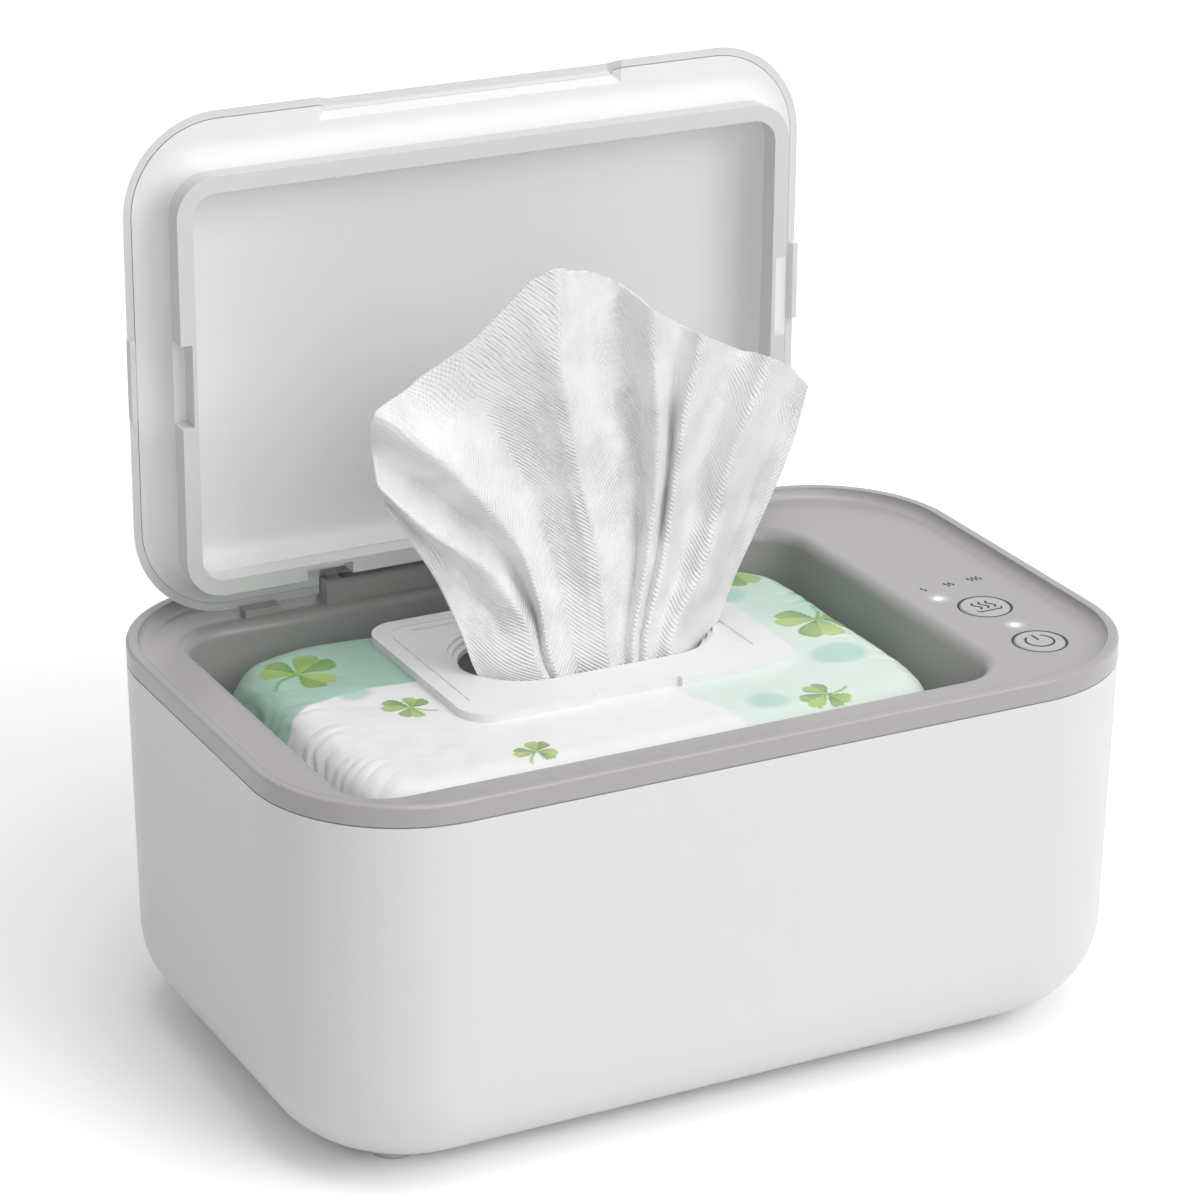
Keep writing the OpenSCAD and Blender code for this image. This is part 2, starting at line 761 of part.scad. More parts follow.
lead_r = 0.9;
lead_pitch = 6;
lead_step = 5;      // how far the second lead runs above the first
lead_drop = 8;      // how far the leads hang below the board
heater_lead_in = 6;
pins_x = board_x - board_w / 2 + 3;
board_low = board_z - board_t;
module jack_leads() {
    y = jack_block_y + jack_block / 2;
    top = jack_z + jack_block / 2;
    run_y = board_y + board_l / 2 + 18;
    end_y = board_y + board_l / 4;
    color([0.75, 0.10, 0.10]) for (k = [0, 1]) {
        x0 = jack_x + lead_pitch * (0.5 - k);
        x1 = pins_x + k * 3;
        lead([[x0, y, top], [x0, y, top + 14 + lead_step * k],
            [x1, jack_block_y - 1.5, top + 26 + lead_step * k], [x1, run_y, board_low - lead_drop],
            [x1, end_y, board_low - lead_drop], [x1, end_y, board_low]], lead_r);
    }
}

module heater_leads() {
    x0 = well_x + plate_w / 2 - heater_lead_in;
    x1 = pins_x + 3;
    low = pad_top - pad_t - 4;
    color([0.95, 0.95, 0.90]) for (k = [0, 1]) {
        y0 = well_y + lead_pitch * k;
        y1 = board_y - 4 + lead_pitch * k;
        lead([[x0, y0, pad_top], [x0, y0, low], [x1, y0, low], [x1, y0, low + 42],
            [x1, y1, board_low - lead_drop / 2], [x1, y1, board_low]], lead_r);
    }
}

// ---------- lid ----------

module dome_section(r, top) {
    c = [dome_cu, dome_cz];
    intersection() {
        translate(c) circle(r);
        translate([dome_cu, 0]) square([dome_r, top]);
    }
    square([dome_cu, top]);
}

module lid_body(r, top, low) {
    translate([lid_x, lid_y, lid_z]) {
        sweep(lid_w, lid_l, lid_r) dome_section(r, top);
        core(lid_w, lid_l, lid_r, low, top - low);
    }
}

// Finger notch in the free edge: a shallow recess with sloped sides
notch_y = lid_back_y - lid_l;
module finger_notch() {
    out = notch_slope * (notch_up + 1) / notch_up;
    intersection() {
        translate([lid_x - notch_l, notch_y, lid_z]) rotate([90, 0, 90]) linear_extrude(2 * notch_l)
            polygon([[-notch_in, -pedestal_h], [notch_in, -pedestal_h], [notch_in, 0],
                [notch_in - notch_slope, notch_up], [-notch_in, notch_up]]);
        translate([lid_x, notch_y + notch_in + 1, lid_z]) rotate([90, 0, 0]) linear_extrude(2 * notch_in + 2)
            polygon([[-notch_l / 2, -pedestal_h - 1], [notch_l / 2, -pedestal_h - 1], [notch_l / 2, 0],
                [notch_l / 2 - out, notch_up + 1], [out - notch_l / 2, notch_up + 1], [-notch_l / 2, 0]]);
    }
}

// Solid part of the shell behind the finger notch
module notch_block() {
    w = notch_l + 3;
    intersection() {
        lid_body(dome_in + lap, lid_h - lid_wall + lap, 0);
        translate([lid_x - w / 2, notch_y, lid_z + inner_t + 0.1])
            cube([w, notch_in + 1.2, notch_up - inner_t + 1.3]);
    }
}

// Bay in the hinge edge for the bracket
bay_l = hinge_l + 2 * clear;
bay_shell_in = pin_in + barrel_r + clear;
module shell_bay() {
    translate([lid_x - bay_l / 2, lid_back_y - bay_shell_in, lid_z - 1])
        cube([bay_l, bay_shell_in + 1, lid_h + 2]);
}

bay_sweep = norm([bracket_in, barrel_r]) + clear;
module inner_bay() {
    translate([lid_x - bay_l / 2, hinge_y, lid_z]) rotate([0, 90, 0]) cylinder(r = bay_sweep, h = bay_l);
}

module at_ears() {
    for (s = [-1, 1]) translate([lid_x + s * (hinge_l / 2 - bracket_t - clear - ear_t / 2), hinge_y, lid_z])
        children();
}

// Ear round the pin, and the arm that goes over the bracket to the shell
module ear_arm() {
    low = barrel_r + clear;
    round = 2;
    translate([-ear_t / 2, 0, 0]) rotate([90, 0, 90]) linear_extrude(ear_t) {
        circle(ear_r);
        translate([-ear_r + 0.4, 0]) square([2 * ear_r - 0.4, low + arm_t - round]);
        translate([-bracket_in - 2, low]) square([bracket_in + 2 + ear_r, arm_t - round]);
        translate([-bracket_in - 2, low]) square([bracket_in + 2 + ear_r - round, arm_t]);
        translate([ear_r - round, low + arm_t - round]) circle(round);
    }
}

module lid_shell() {
    color(white) opened() {
        difference() {
            union() {
                difference() {
                    lid_body(dome_r, lid_h, 0);
                    lid_body(dome_in, lid_h - lid_wall, -1);
                    translate([lid_x, lid_y, lid_z - 1]) sweep(lid_w, lid_l, lid_r) square([dome_edge(0), 1]);
                    shell_bay();
                }
                notch_block();
                at_ears() ear_arm();
                // locating tabs
                for (s = [-1, 1])
                    translate([lid_x + s * (lid_w - tab_t) / 2, tab_y, lid_z + (lap - tab_h) / 2])
                        cube([tab_t, tab_l, tab_h + lap], center = true);
            }
            at_ears() rotate([0, 90, 0]) translate([0, 0, -ear_t]) cylinder(r = pin_r + 0.15, h = 2 * ear_t);
            finger_notch();
        }
    }
}

module cove_section() {
    u = seal_r;
    z = -pedestal_h;
    drop = pedestal_h - cove_r;
    // cove
    intersection() {
        difference() {
            translate([u + cove_r, -cove_r]) circle(cove_r + inner_t);
            translate([u + cove_r, -cove_r]) circle(cove_r);
        }
        translate([u - inner_t, -cove_r]) square(cove_r + inner_t);
    }
    translate([u - inner_t, z]) square([inner_t, drop]);
    // seat of the seal and wall of the recess
    in_u = u - seal_w - 0.4;
    translate([in_u, z]) square([u - in_u, inner_t]);
    translate([in_u, z]) square([inner_t, pedestal_h + panel_up - panel_r]);
    c = [in_u - panel_r, panel_up - panel_r];
    intersection() {
        difference() {
            translate(c) circle(panel_r + inner_t);
            translate(c) circle(panel_r);
        }
        translate(c) square(panel_r + inner_t);
    }
    translate([0, panel_up]) square([in_u - panel_r, inner_t]);
}

module lid_inner() {
    edge = dome_edge(0) - snug;
    chamfer = dome_edge(inner_t) - snug;
    color(white) opened() difference() {
        intersection() {
            union() {
                translate([lid_x, lid_y, lid_z]) linear_extrude(inner_t) difference() {
                    slab_2d(lid_w, lid_l, lid_r);
                    translate([0, seal_y - lid_y]) slab_2d(seal_out_w + 2 * cove_r - lap,
                        seal_out_l + 2 * cove_r - lap, seal_r + cove_r - lap / 2);
                }
                translate([lid_x, seal_y, lid_z]) {
                    sweep(seal_out_w, seal_out_l, seal_r) {
                        cove_section();
                        translate([seal_r + cove_r - lap, 0]) square([lap, inner_t]);
                    }
                    core(seal_out_w, seal_out_l, seal_r, panel_up, inner_t);
                }
            }
            // everything inside the shell's rim
            translate([lid_x, lid_y, lid_z]) {
                sweep(lid_w, lid_l, lid_r)
                    polygon([[0, -lid_h], [edge, -lid_h], [edge, 0], [chamfer, inner_t], [chamfer, lid_h],
                        [0, lid_h]]);
                core(lid_w, lid_l, lid_r, -lid_h, 2 * lid_h);
            }
        }
        finger_notch();
        inner_bay();
    }
}

module lid_seal() {
    color([0.92, 0.92, 0.91]) opened() translate([lid_x, seal_y, lid_z - pedestal_h - seal_t])
        linear_extrude(seal_t) difference() {
            slab_2d(seal_out_w, seal_out_l, seal_r);
            slab_2d(seal_out_w - 2 * seal_w, seal_out_l - 2 * seal_w, seal_r - seal_w);
            for (s = [-1, 1]) {
                translate([s * seal_out_w / 2, tab_y - seal_y])
                    square([2 * seal_cut, side_cut_l], center = true);
                translate([s * (hinge_l / 2 + hinge_cut_at), seal_out_l / 2])
                    square([hinge_cut_l, 2 * seal_cut], center = true);
            }
        }
}

module hinge_pins() {
    color(steel) pins();
}

// ---------- pack of wipes ----------

// One ring of the pack: a soft-cornered rectangle with its sides drawn in
ring_n = 44;
function soft(a, p) = sign(a) * pow(abs(a), 2 / p);
function pack_ring(inset, z) = [for (i = [0:ring_n - 1])
    let(a = 360 * (i + 0.5) / ring_n, x = soft(cos(a), 6), y = soft(sin(a), 6))
    [(pack_w / 2 - inset) * x * (1 - 0.015 * (1 - y * y)), (pack_l / 2 - inset) * y, z]];
crown = 1.2;
pack_foot = 10;
pack_steps = concat(
    [for (a = [0:30:90]) [pack_foot * (1 - sin(a)) + 0.6, pack_foot * (1 - cos(a))]],
    [[0, pack_h * 0.4], [0.8, pack_h * 0.6]],
    [for (a = [0:15:75]) [1 + pack_r * (1 - cos(a)), pack_h - crown - pack_r * (1 - sin(a))]]);

module pack_solid() {
    rings = [for (s = pack_steps) pack_ring(s[0], s[1])];
    n = len(rings);
    points = concat([for (r = rings) each r], [[0, 0, 0], [0, 0, pack_h]]);
    sides = [for (k = [0:n - 2], i = [0:ring_n - 1]) let(j = (i + 1) % ring_n)
        each [[k * ring_n + i, (k + 1) * ring_n + j, k * ring_n + j],
            [k * ring_n + i, (k + 1) * ring_n + i, (k + 1) * ring_n + j]]];
    low = [for (i = [0:ring_n - 1]) [n * ring_n, i, (i + 1) % ring_n]];
    last = (n - 1) * ring_n;
    high = [for (i = [0:ring_n - 1]) [n * ring_n + 1, last + (i + 1) % ring_n, last + i]];
    polyhedron(points, concat(sides, low, high));
}

module wipe_pack() {
    color([0.75, 0.90, 0.84]) difference() {
        translate([pack_x, pack_y, pack_z]) pack_solid();
        // seat of the frame and its latch
        translate([frame_x, frame_y, frame_low]) {
            slab(frame_w + 2 * clear, frame_l + 2 * clear, frame_r + clear, frame_t);
            latch_lip(clear, frame_t);
        }
        translate([frame_x, frame_y, frame_low - pocket_deep])
            slab(mouth_w - 4, mouth_l - 4, mouth_l / 2 - 2.1, pocket_deep + 1);
    }
}

// Lip of the latch, in front of the frame
module latch_lip(over, h) {
    translate([0, -frame_l / 2, 0]) slab(latch_w - 2 + 2 * over, 2 * (latch_out + over), 1, h);
}

// Fine groove beside the frame's left and back edges
module frame_groove() {
    w = frame_w - 2 * groove_in;
    l = frame_l - 2 * groove_in;
    r = frame_r - groove_in / 2;
    line = 0.4;
    translate([0, 0, frame_t - 0.4]) intersection() {
        linear_extrude(1) difference() {
            slab_2d(w, l, r);
            slab_2d(w - 2 * line, l - 2 * line, r - line);
        }
        union() {
            translate([-frame_w / 2, -l / 2 + r, 0]) cube([groove_in + r, frame_l, 1]);
            translate([-frame_w / 2, l / 2 - r, 0]) cube([frame_w / 2, frame_l, 1]);
        }
    }
}

// Shallow grooves beside the mouth
module mouth_grooves() {
    translate([0, 0, frame_t - 0.6]) {
        translate([8 - mouth_w / 2, mouth_l / 2 + 6.5, 0]) slab(16, 1.6, 0.7, 1);
        translate([mouth_w / 2 + 2.4, -8, 0]) slab(1.4, 30, 0.6, 1);
        translate([mouth_w / 2 + 1.2, -22.3, 0]) slab(3.8, 1.4, 0.6, 1);
    }
}

module dispenser_frame() {
    step = mouth_step;
    color([0.97, 0.97, 0.97]) translate([frame_x, frame_y, frame_low]) difference() {
        union() {
            difference() {
                slab(frame_w, frame_l, frame_r, frame_t);
                translate([0, -frame_l / 2, latch_t]) slab(latch_w, 2 * latch_in, 0.8, frame_t);
            }
            latch_lip(0, latch_t);
        }
        // mouth with two steps, from the top down
        for (k = [0:2]) translate([0, 0, [frame_t - 1, frame_t - 2.4, -1][k]])
            slab(mouth_w - 2 * k * step, mouth_l - 2 * k * step, mouth_l / 2 - k * step - 0.1, 2 * frame_t);
        frame_groove();
        mouth_grooves();
    }
}

// ---------- wipe ----------

// The free edge follows a few chosen points, as shares of the wipe's width and height
edge_pts = [[-0.49, 0.59], [-0.48, 0.70], [-0.37, 0.79], [-0.21, 0.89], [-0.065, 0.99],
    [0.045, 0.94], [0.15, 0.86], [0.27, 0.77], [0.43, 0.69], [0.52, 0.60]];
wipe_dx = -1.5;     // the wipe leans to the left
wipe_dy = -4;       // and to the front
wipe_deep = 6;      // depth of its lower end in the mouth
wipe_n = 40;
wipe_m = 12;
// The lower end follows the front half of the mouth
slot_in = 2 * mouth_step + clear + wipe_t / 2 + slot_fold;
slot_l = mouth_l / 2 - slot_in;
slot_w = mouth_w / 2 - slot_in;
function slot_y(x) = let(c = max(abs(x) - (slot_w - slot_l), 0)) -sqrt(max(slot_l * slot_l - c * c, 0));
function mix(a, b, t) = a + (b - a) * t;
function edge_at(s) = let(q = s * (len(edge_pts) - 1), i = min(floor(q), len(edge_pts) - 2), f = q - i,
    g = f * f * (3 - 2 * f)) mix(edge_pts[i], edge_pts[i + 1], mix(f, g, 0.3));
function wipe_pt(s, t, side) = let(
    e = edge_at(s),
    slot_x = mix(-slot_w, slot_w - slot_l / 2, s),
    x = mix(slot_x, e[0] * wipe_w + wipe_dx, pow(t, 1.15)),
    z = mix(frame_top - wipe_deep, frame_top + e[1] * wipe_h, t),
    fold = sin(360 * wipe_folds * s + 40) * mix(slot_fold, 2 * slot_fold, t) * (1 - 0.5 * t * t),
    y = mix(slot_y(slot_x), wipe_dy, t) + fold + side * wipe_t / 2)
    [frame_x + x, frame_y + y, z];

module wipe_sheet() {
    w = wipe_n + 1;
    rows = wipe_m + 1;
    count = w * rows;
    points = [for (side = [-1, 1], k = [0:wipe_m], i = [0:wipe_n]) wipe_pt(i / wipe_n, k / wipe_m, side)];
    function at(side, k, i) = side * count + k * w + i;
    faces = [for (k = [0:wipe_m - 1], i = [0:wipe_n - 1]) each [
        [at(0, k, i), at(0, k + 1, i), at(0, k + 1, i + 1)],
        [at(0, k, i), at(0, k + 1, i + 1), at(0, k, i + 1)],
        [at(1, k, i), at(1, k + 1, i + 1), at(1, k + 1, i)],
        [at(1, k, i), at(1, k, i + 1), at(1, k + 1, i + 1)]]];
    ends = [for (k = [0:wipe_m - 1]) each [
        [at(0, k, 0), at(1, k + 1, 0), at(0, k + 1, 0)], [at(0, k, 0), at(1, k, 0), at(1, k + 1, 0)],
        [at(0, k, wipe_n), at(0, k + 1, wipe_n), at(1, k + 1, wipe_n)],
        [at(0, k, wipe_n), at(1, k + 1, wipe_n), at(1, k, wipe_n)]]];
    rims = [for (i = [0:wipe_n - 1]) each [
        [at(0, 0, i), at(0, 0, i + 1), at(1, 0, i + 1)], [at(0, 0, i), at(1, 0, i + 1), at(1, 0, i)],
        [at(0, wipe_m, i), at(1, wipe_m, i + 1), at(0, wipe_m, i + 1)],
        [at(0, wipe_m, i), at(1, wipe_m, i), at(1, wipe_m, i + 1)]]];
    color([1, 1, 1]) polyhedron(points, concat(faces, ends, rims));
}

outer_housing();
rubber_feet();
tub_screws();
liner_tub();
heat_spreader();
heater_film();
insulation_pad();
heater_retainer();
retainer_screws();
thermal_fuse();
temperature_sensor();
control_board();
board_screws();
button_switches();
indicator_leds();
light_pipes();
power_jack();
jack_leads();
heater_leads();
hinge_pins();
heat_button();
heat_plunger();
power_button();
power_plunger();
lid_shell();
lid_inner();
lid_seal();
wipe_pack();
dispenser_frame();
wipe_sheet();
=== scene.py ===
"""Looks of a baby wipe warmer: lid open, a soft pack of wipes in its well, one wipe pulled up."""
import math

import bpy
import numpy as np
from mathutils import Matrix, Vector


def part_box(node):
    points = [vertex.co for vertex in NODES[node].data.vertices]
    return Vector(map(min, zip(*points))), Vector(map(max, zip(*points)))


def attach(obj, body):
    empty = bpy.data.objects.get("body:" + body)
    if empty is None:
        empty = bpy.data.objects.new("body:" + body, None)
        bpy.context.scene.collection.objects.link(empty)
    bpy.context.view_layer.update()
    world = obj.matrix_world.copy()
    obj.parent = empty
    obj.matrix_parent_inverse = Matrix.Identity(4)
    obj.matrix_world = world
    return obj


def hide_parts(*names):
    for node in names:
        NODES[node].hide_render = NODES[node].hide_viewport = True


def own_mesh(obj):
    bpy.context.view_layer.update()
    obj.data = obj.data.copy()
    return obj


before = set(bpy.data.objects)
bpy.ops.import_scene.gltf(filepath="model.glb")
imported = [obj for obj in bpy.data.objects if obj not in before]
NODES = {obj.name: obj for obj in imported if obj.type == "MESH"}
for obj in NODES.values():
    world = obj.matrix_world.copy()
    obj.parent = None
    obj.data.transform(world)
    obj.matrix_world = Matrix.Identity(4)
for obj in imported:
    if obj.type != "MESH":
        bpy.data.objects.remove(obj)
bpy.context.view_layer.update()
MM = 0.001


# ---------- small helpers ----------

def mix(a, b, t):
    return a + (b - a) * t


def smooth(x):
    """A soft step from 0 where x is 0 to 1 where x is 1."""
    x = np.clip(x, 0, 1)
    return x * x * (3 - 2 * x)


def box_mm(node):
    """The low and the high corner of a node's box, in mm."""
    return [np.array(corner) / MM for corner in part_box(node)]


def add_object(name, data):
    item = bpy.data.objects.new(name, data)
    bpy.context.scene.collection.objects.link(item)
    return item


class Tree:
    """Short calls for building a node tree."""

    def __init__(self, tree):
        self.tree = tree

    def link(self, output, socket):
        self.tree.links.new(output, socket)

    def fill(self, socket, value):
        """Link an output to the socket, or set the socket's own value."""
        if isinstance(value, bpy.types.NodeSocket):
            self.link(value, socket)
        else:
            socket.default_value = value

    def add(self, kind, inputs=None, **props):
        node = self.tree.nodes.new(kind)
        for key, value in props.items():
            setattr(node, key, value)
        for key, value in (inputs or {}).items():
            self.fill(node.inputs[key], value)
        return node

    def math(self, operation, *values):
        node = self.add("ShaderNodeMath", operation=operation)
        for i, value in enumerate(values):
            self.fill(node.inputs[i], value)
        return node.outputs[0]

    def spread(self, value, **limits):
        """A Map Range node; the limits are from_min, from_max, to_min and to_max."""
        inputs = {key.replace("_", " ").title(): limit for key, limit in limits.items()}
        return self.add("ShaderNodeMapRange", {"Value": value, **inputs}).outputs[0]

    def mix_color(self, factor, a, b):
        node = self.add("ShaderNodeMix", data_type="RGBA")
        for index, value in ((0, factor), (6, (*a, 1)), (7, (*b, 1))):
            self.fill(node.inputs[index], value)
        return node.outputs[2]

    def place(self, kind="Object"):
        return self.add("ShaderNodeTexCoord").outputs[kind]


def new_material(name):
    m = bpy.data.materials.new(name)
    m.use_nodes = True
    return m, Tree(m.node_tree), m.node_tree.nodes["Principled BSDF"]


def set_shader(shader, values):
    for key, value in values.items():
        shader.inputs[key].default_value = value


# ---------- camera, lights, floor ----------

CAMERA_AT = Vector((-486.6, -920.5, 539.7)) * MM
CAMERA_TURN = math.radians(27.5)
CAMERA_DOWN = math.radians(21.99)
CAMERA_ROLL = math.radians(0.5)
CAMERA_LENS = 125.5
CAMERA_SENSOR = 36
CAMERA_REACH = 30

LAMP_AIM = (0, 0, 0.1)
# name, place in m, side of the square in m, power in W
LAMPS = (
    ("key", (1.0, -1.8, 1.5), 1.7, 23.5),
    ("fill", (-0.75, -2.1, 1.1), 1.2, 7.5),
    ("top", (0.15, -0.25, 2.3), 1.5, 18))

WHITE_LIGHT = (1, 1, 1, 1)
# the studio's even light, its look as a backdrop, and its darker side, towards the front left
AMBIENT = 0.36
SKY_SEEN = 0.9
DARK_SIDE = (-0.80, -0.60, 0.0)
DARK_FROM, DARK_TO, DARK_SHARE = 0.2, 0.95, 0.25
# the paper floor as the light meets it and as it looks, and the glow that whitens its far parts
FLOOR_HALF = 6.0
FLOOR_PAPER = 0.86
FLOOR_SEEN = 1.35
FLOOR_LIFT = 0.55
LIFT_FROM, LIFT_TO = 0.2, 1.0


def add_camera():
    data = bpy.data.cameras.new("camera")
    data.lens = CAMERA_LENS
    data.sensor_width = CAMERA_SENSOR
    data.clip_end = CAMERA_REACH
    camera = add_object("camera", data)
    level = math.cos(CAMERA_DOWN)
    forward = Vector((math.sin(CAMERA_TURN) * level, math.cos(CAMERA_TURN) * level,
                      -math.sin(CAMERA_DOWN)))
    right = forward.cross(Vector((0, 0, 1))).normalized()
    up = right.cross(forward)
    side = right * math.cos(CAMERA_ROLL) + up * math.sin(CAMERA_ROLL)
    rise = up * math.cos(CAMERA_ROLL) - right * math.sin(CAMERA_ROLL)
    camera.matrix_world = Matrix((
        (side.x, rise.x, -forward.x, CAMERA_AT.x),
        (side.y, rise.y, -forward.y, CAMERA_AT.y),
        (side.z, rise.z, -forward.z, CAMERA_AT.z),
        (0, 0, 0, 1)))
    bpy.context.scene.camera = camera


def add_lamp(name, at, size, power):
    data = bpy.data.lights.new(name, "AREA")
    data.shape = "SQUARE"
    data.size = size
    data.energy = power
    lamp = add_object(name, data)
    lamp.location = at
    lamp.rotation_euler = (Vector(LAMP_AIM) - Vector(at)).to_track_quat("-Z", "Y").to_euler()


def seen_directly(t):
    """1 where a camera, mirror or glass ray looks, 0 for the light that falls on the object."""
    path = t.add("ShaderNodeLightPath")
    seen = t.math("MAXIMUM", path.outputs["Is Camera Ray"], path.outputs["Is Glossy Ray"])
    return t.math("MAXIMUM", seen, path.outputs["Is Transmission Ray"])


def add_world():
    world = bpy.data.worlds.new("studio")
    world.use_nodes = True
    bpy.context.scene.world = world
    t = Tree(world.node_tree)
    world.node_tree.nodes.clear()
    side = t.add("ShaderNodeVectorMath", {0: t.place("Generated"), 1: DARK_SIDE},
                 operation="DOT_PRODUCT")
    share = t.spread(side.outputs["Value"], from_min=DARK_FROM, from_max=DARK_TO,
                     to_min=1.0, to_max=DARK_SHARE)
    ambient = t.math("MULTIPLY", share, AMBIENT)
    more = t.math("MULTIPLY", seen_directly(t), t.math("SUBTRACT", SKY_SEEN, ambient))
    strength = t.math("ADD", more, ambient)
    sky = t.add("ShaderNodeBackground", {"Color": WHITE_LIGHT, "Strength": strength})
    t.add("ShaderNodeOutputWorld", {"Surface": sky.outputs[0]})


def add_floor():
    mesh = bpy.data.meshes.new("floor")
    r = FLOOR_HALF
    mesh.from_pydata([(-r, -r, 0), (r, -r, 0), (r, r, 0), (-r, r, 0)], [], [(0, 1, 2, 3)])
    floor = add_object("floor", mesh)
    m, t, _ = new_material("floor_paper")
    m.node_tree.nodes.clear()
    seen = seen_directly(t)
    color = t.mix_color(seen, (FLOOR_PAPER,) * 3, (FLOOR_SEEN,) * 3)
    paper = t.add("ShaderNodeBsdfDiffuse", {"Color": color})
    far = t.add("ShaderNodeVectorMath", {0: t.place()}, operation="LENGTH")
    away = t.spread(far.outputs["Value"], from_min=LIFT_FROM, from_max=LIFT_TO, to_max=FLOOR_LIFT)
    lift = t.math("MULTIPLY", seen, away)
    glow = t.add("ShaderNodeEmission", {"Color": WHITE_LIGHT, "Strength": lift})
    both = t.add("ShaderNodeAddShader", {0: paper.outputs[0], 1: glow.outputs[0]})
    t.add("ShaderNodeOutputMaterial", {"Surface": both.outputs[0]})
    mesh.materials.append(m)


add_camera()
add_world()
add_floor()
for lamp_values in LAMPS:
    add_lamp(*lamp_values)
bpy.context.scene.view_settings.view_transform = "Standard"


# ---------- materials ----------

# flow marks: waves to the metre, how much darker they are, how far they change the roughness
FLOW_SCALE = 18.0
FLOW_DARKER = 0.02
GLOSS_LESS, GLOSS_MORE = 0.04, 0.05
PLASTIC_IOR = 1.49
COAT_ROUGH = 0.12
# the two lit indicators, in mm, and the painted glow on the plastic round them (its radius and
# strength): emission that stands in for their light on the deck
LIT = ((92.2, -11.5, 107.2), (100.9, -37.0, 107.2))
HALO_R, HALO = 1.9, 0.55
EULER = 2.718
LAMP_TINT, LAMP_GLOW = (0.95, 0.98, 1.0), 2.2
# edges that turn by more than this many degrees stay sharp
SHARP_FROM = 28


def moulded(name, color, rough, grain=0.35, depth=0.012, coat=0.0):
    """Moulded plastic: a fine grain (its size and depth in mm), faint flow marks, uneven gloss."""
    m, t, shader = new_material(name)
    place = t.place()
    fine = t.add("ShaderNodeTexNoise", {"Vector": place, "Scale": 1 / (grain * MM), "Detail": 3.0,
                                         "Roughness": 0.6})
    broad = t.add("ShaderNodeTexNoise", {"Vector": place, "Scale": FLOW_SCALE, "Detail": 4.0,
                                          "Roughness": 0.5})
    darker = tuple(c * (1 - FLOW_DARKER) for c in color)
    t.link(t.mix_color(broad.outputs[0], darker, color), shader.inputs["Base Color"])
    uneven = t.spread(broad.outputs[0], to_min=rough - GLOSS_LESS, to_max=rough + GLOSS_MORE)
    t.link(uneven, shader.inputs["Roughness"])
    bump = t.add("ShaderNodeBump", {"Height": fine.outputs[0], "Strength": 0.6,
                                     "Distance": depth * MM})
    t.link(bump.outputs[0], shader.inputs["Normal"])
    set_shader(shader, {"IOR": PLASTIC_IOR, "Coat Weight": coat, "Coat Roughness": COAT_ROUGH})
    return m


def painted_glow_deck(m):
    """Painted glow: the deck plastic is given faint emission round the two lit indicators, standing
    in for their light falling on it.
    """
    t = Tree(m.node_tree)
    shader = m.node_tree.nodes["Principled BSDF"]
    place = t.place()
    total = 0.0
    for lamp in LIT:
        gap = t.add("ShaderNodeVectorMath", {0: place, 1: [c * MM for c in lamp]},
                    operation="DISTANCE")
        near = t.math("DIVIDE", gap.outputs["Value"], HALO_R * MM)
        glow = t.math("POWER", EULER, t.math("MULTIPLY", t.math("MULTIPLY", near, near), -1.0))
        total = t.math("ADD", total, glow)
    t.link(t.math("MULTIPLY", total, HALO), shader.inputs["Emission Strength"])
    set_shader(shader, {"Emission Color": WHITE_LIGHT})
    return m


def metal(name, color, rough):
    m = moulded(name, color, rough, grain=0.2, depth=0.004)
    set_shader(m.node_tree.nodes["Principled BSDF"], {"Metallic": 1.0})
    return m


def glowing(name, color, strength):
    m = moulded(name, color, 0.3)
    set_shader(m.node_tree.nodes["Principled BSDF"],
               {"Emission Color": (*color, 1), "Emission Strength": strength})
    return m


def wear(material, *nodes):
    for node in nodes:
        slots = NODES[node].data.materials
        slots.clear()
        slots.append(material)


def dress_nodes():
    # what shows from outside
    wear(moulded("white_plastic", (0.85, 0.84, 0.845), 0.38, coat=0.15), "outer_housing")
    wear(painted_glow_deck(moulded("grey_plastic", (0.455, 0.440, 0.437), 0.34, coat=0.3)), "liner_tub")
    # painted light: the lid's shell and its inside are one plastic; the shell gets a darker tone and
    # the inside a lighter one, for the light that falls on each
    wear(moulded("lid_plastic_painted_darker", (0.78, 0.775, 0.78), 0.42), "lid_shell")
    wear(moulded("lid_inside_painted_lighter", (0.91, 0.905, 0.91), 0.42), "lid_inner")
    wear(moulded("seal_rubber", (0.76, 0.755, 0.755), 0.5), "lid_seal")
    wear(moulded("frame_plastic", (0.92, 0.915, 0.92), 0.38), "dispenser_frame")
    wear(moulded("button_plastic", (0.56, 0.555, 0.54), 0.42), "heat_button", "power_button")
    wear(moulded("foot_rubber", (0.72, 0.72, 0.72), 0.7, grain=0.5, depth=0.03), "rubber_feet")
    # fasteners and the inside
    wear(metal("bright_steel", (0.70, 0.70, 0.72), 0.28),
         "tub_screws", "retainer_screws", "board_screws", "hinge_pins", "heater_retainer")
    wear(metal("rolled_aluminium", (0.80, 0.81, 0.83), 0.38), "heat_spreader")
    wear(moulded("heater_film", (0.55, 0.24, 0.05), 0.35), "heater_film")
    wear(moulded("black_foam", (0.06, 0.06, 0.065), 0.9, grain=0.8, depth=0.2), "insulation_pad")
    wear(moulded("fuse_ceramic", (0.60, 0.52, 0.36), 0.6), "thermal_fuse")
    wear(moulded("black_plastic", (0.02, 0.02, 0.022), 0.45),
         "temperature_sensor", "button_switches", "power_jack")
    wear(moulded("board_lacquer", (0.02, 0.16, 0.06), 0.3, coat=0.3), "control_board")
    wear(moulded("lead_red", (0.45, 0.02, 0.02), 0.45), "jack_leads")
    wear(moulded("lead_white", (0.75, 0.75, 0.70), 0.45),
         "heater_leads", "heat_plunger", "power_plunger")
    for lit in ("light_pipes", "indicator_leds"):
        wear(glowing("lit_" + lit, LAMP_TINT, LAMP_GLOW), lit)


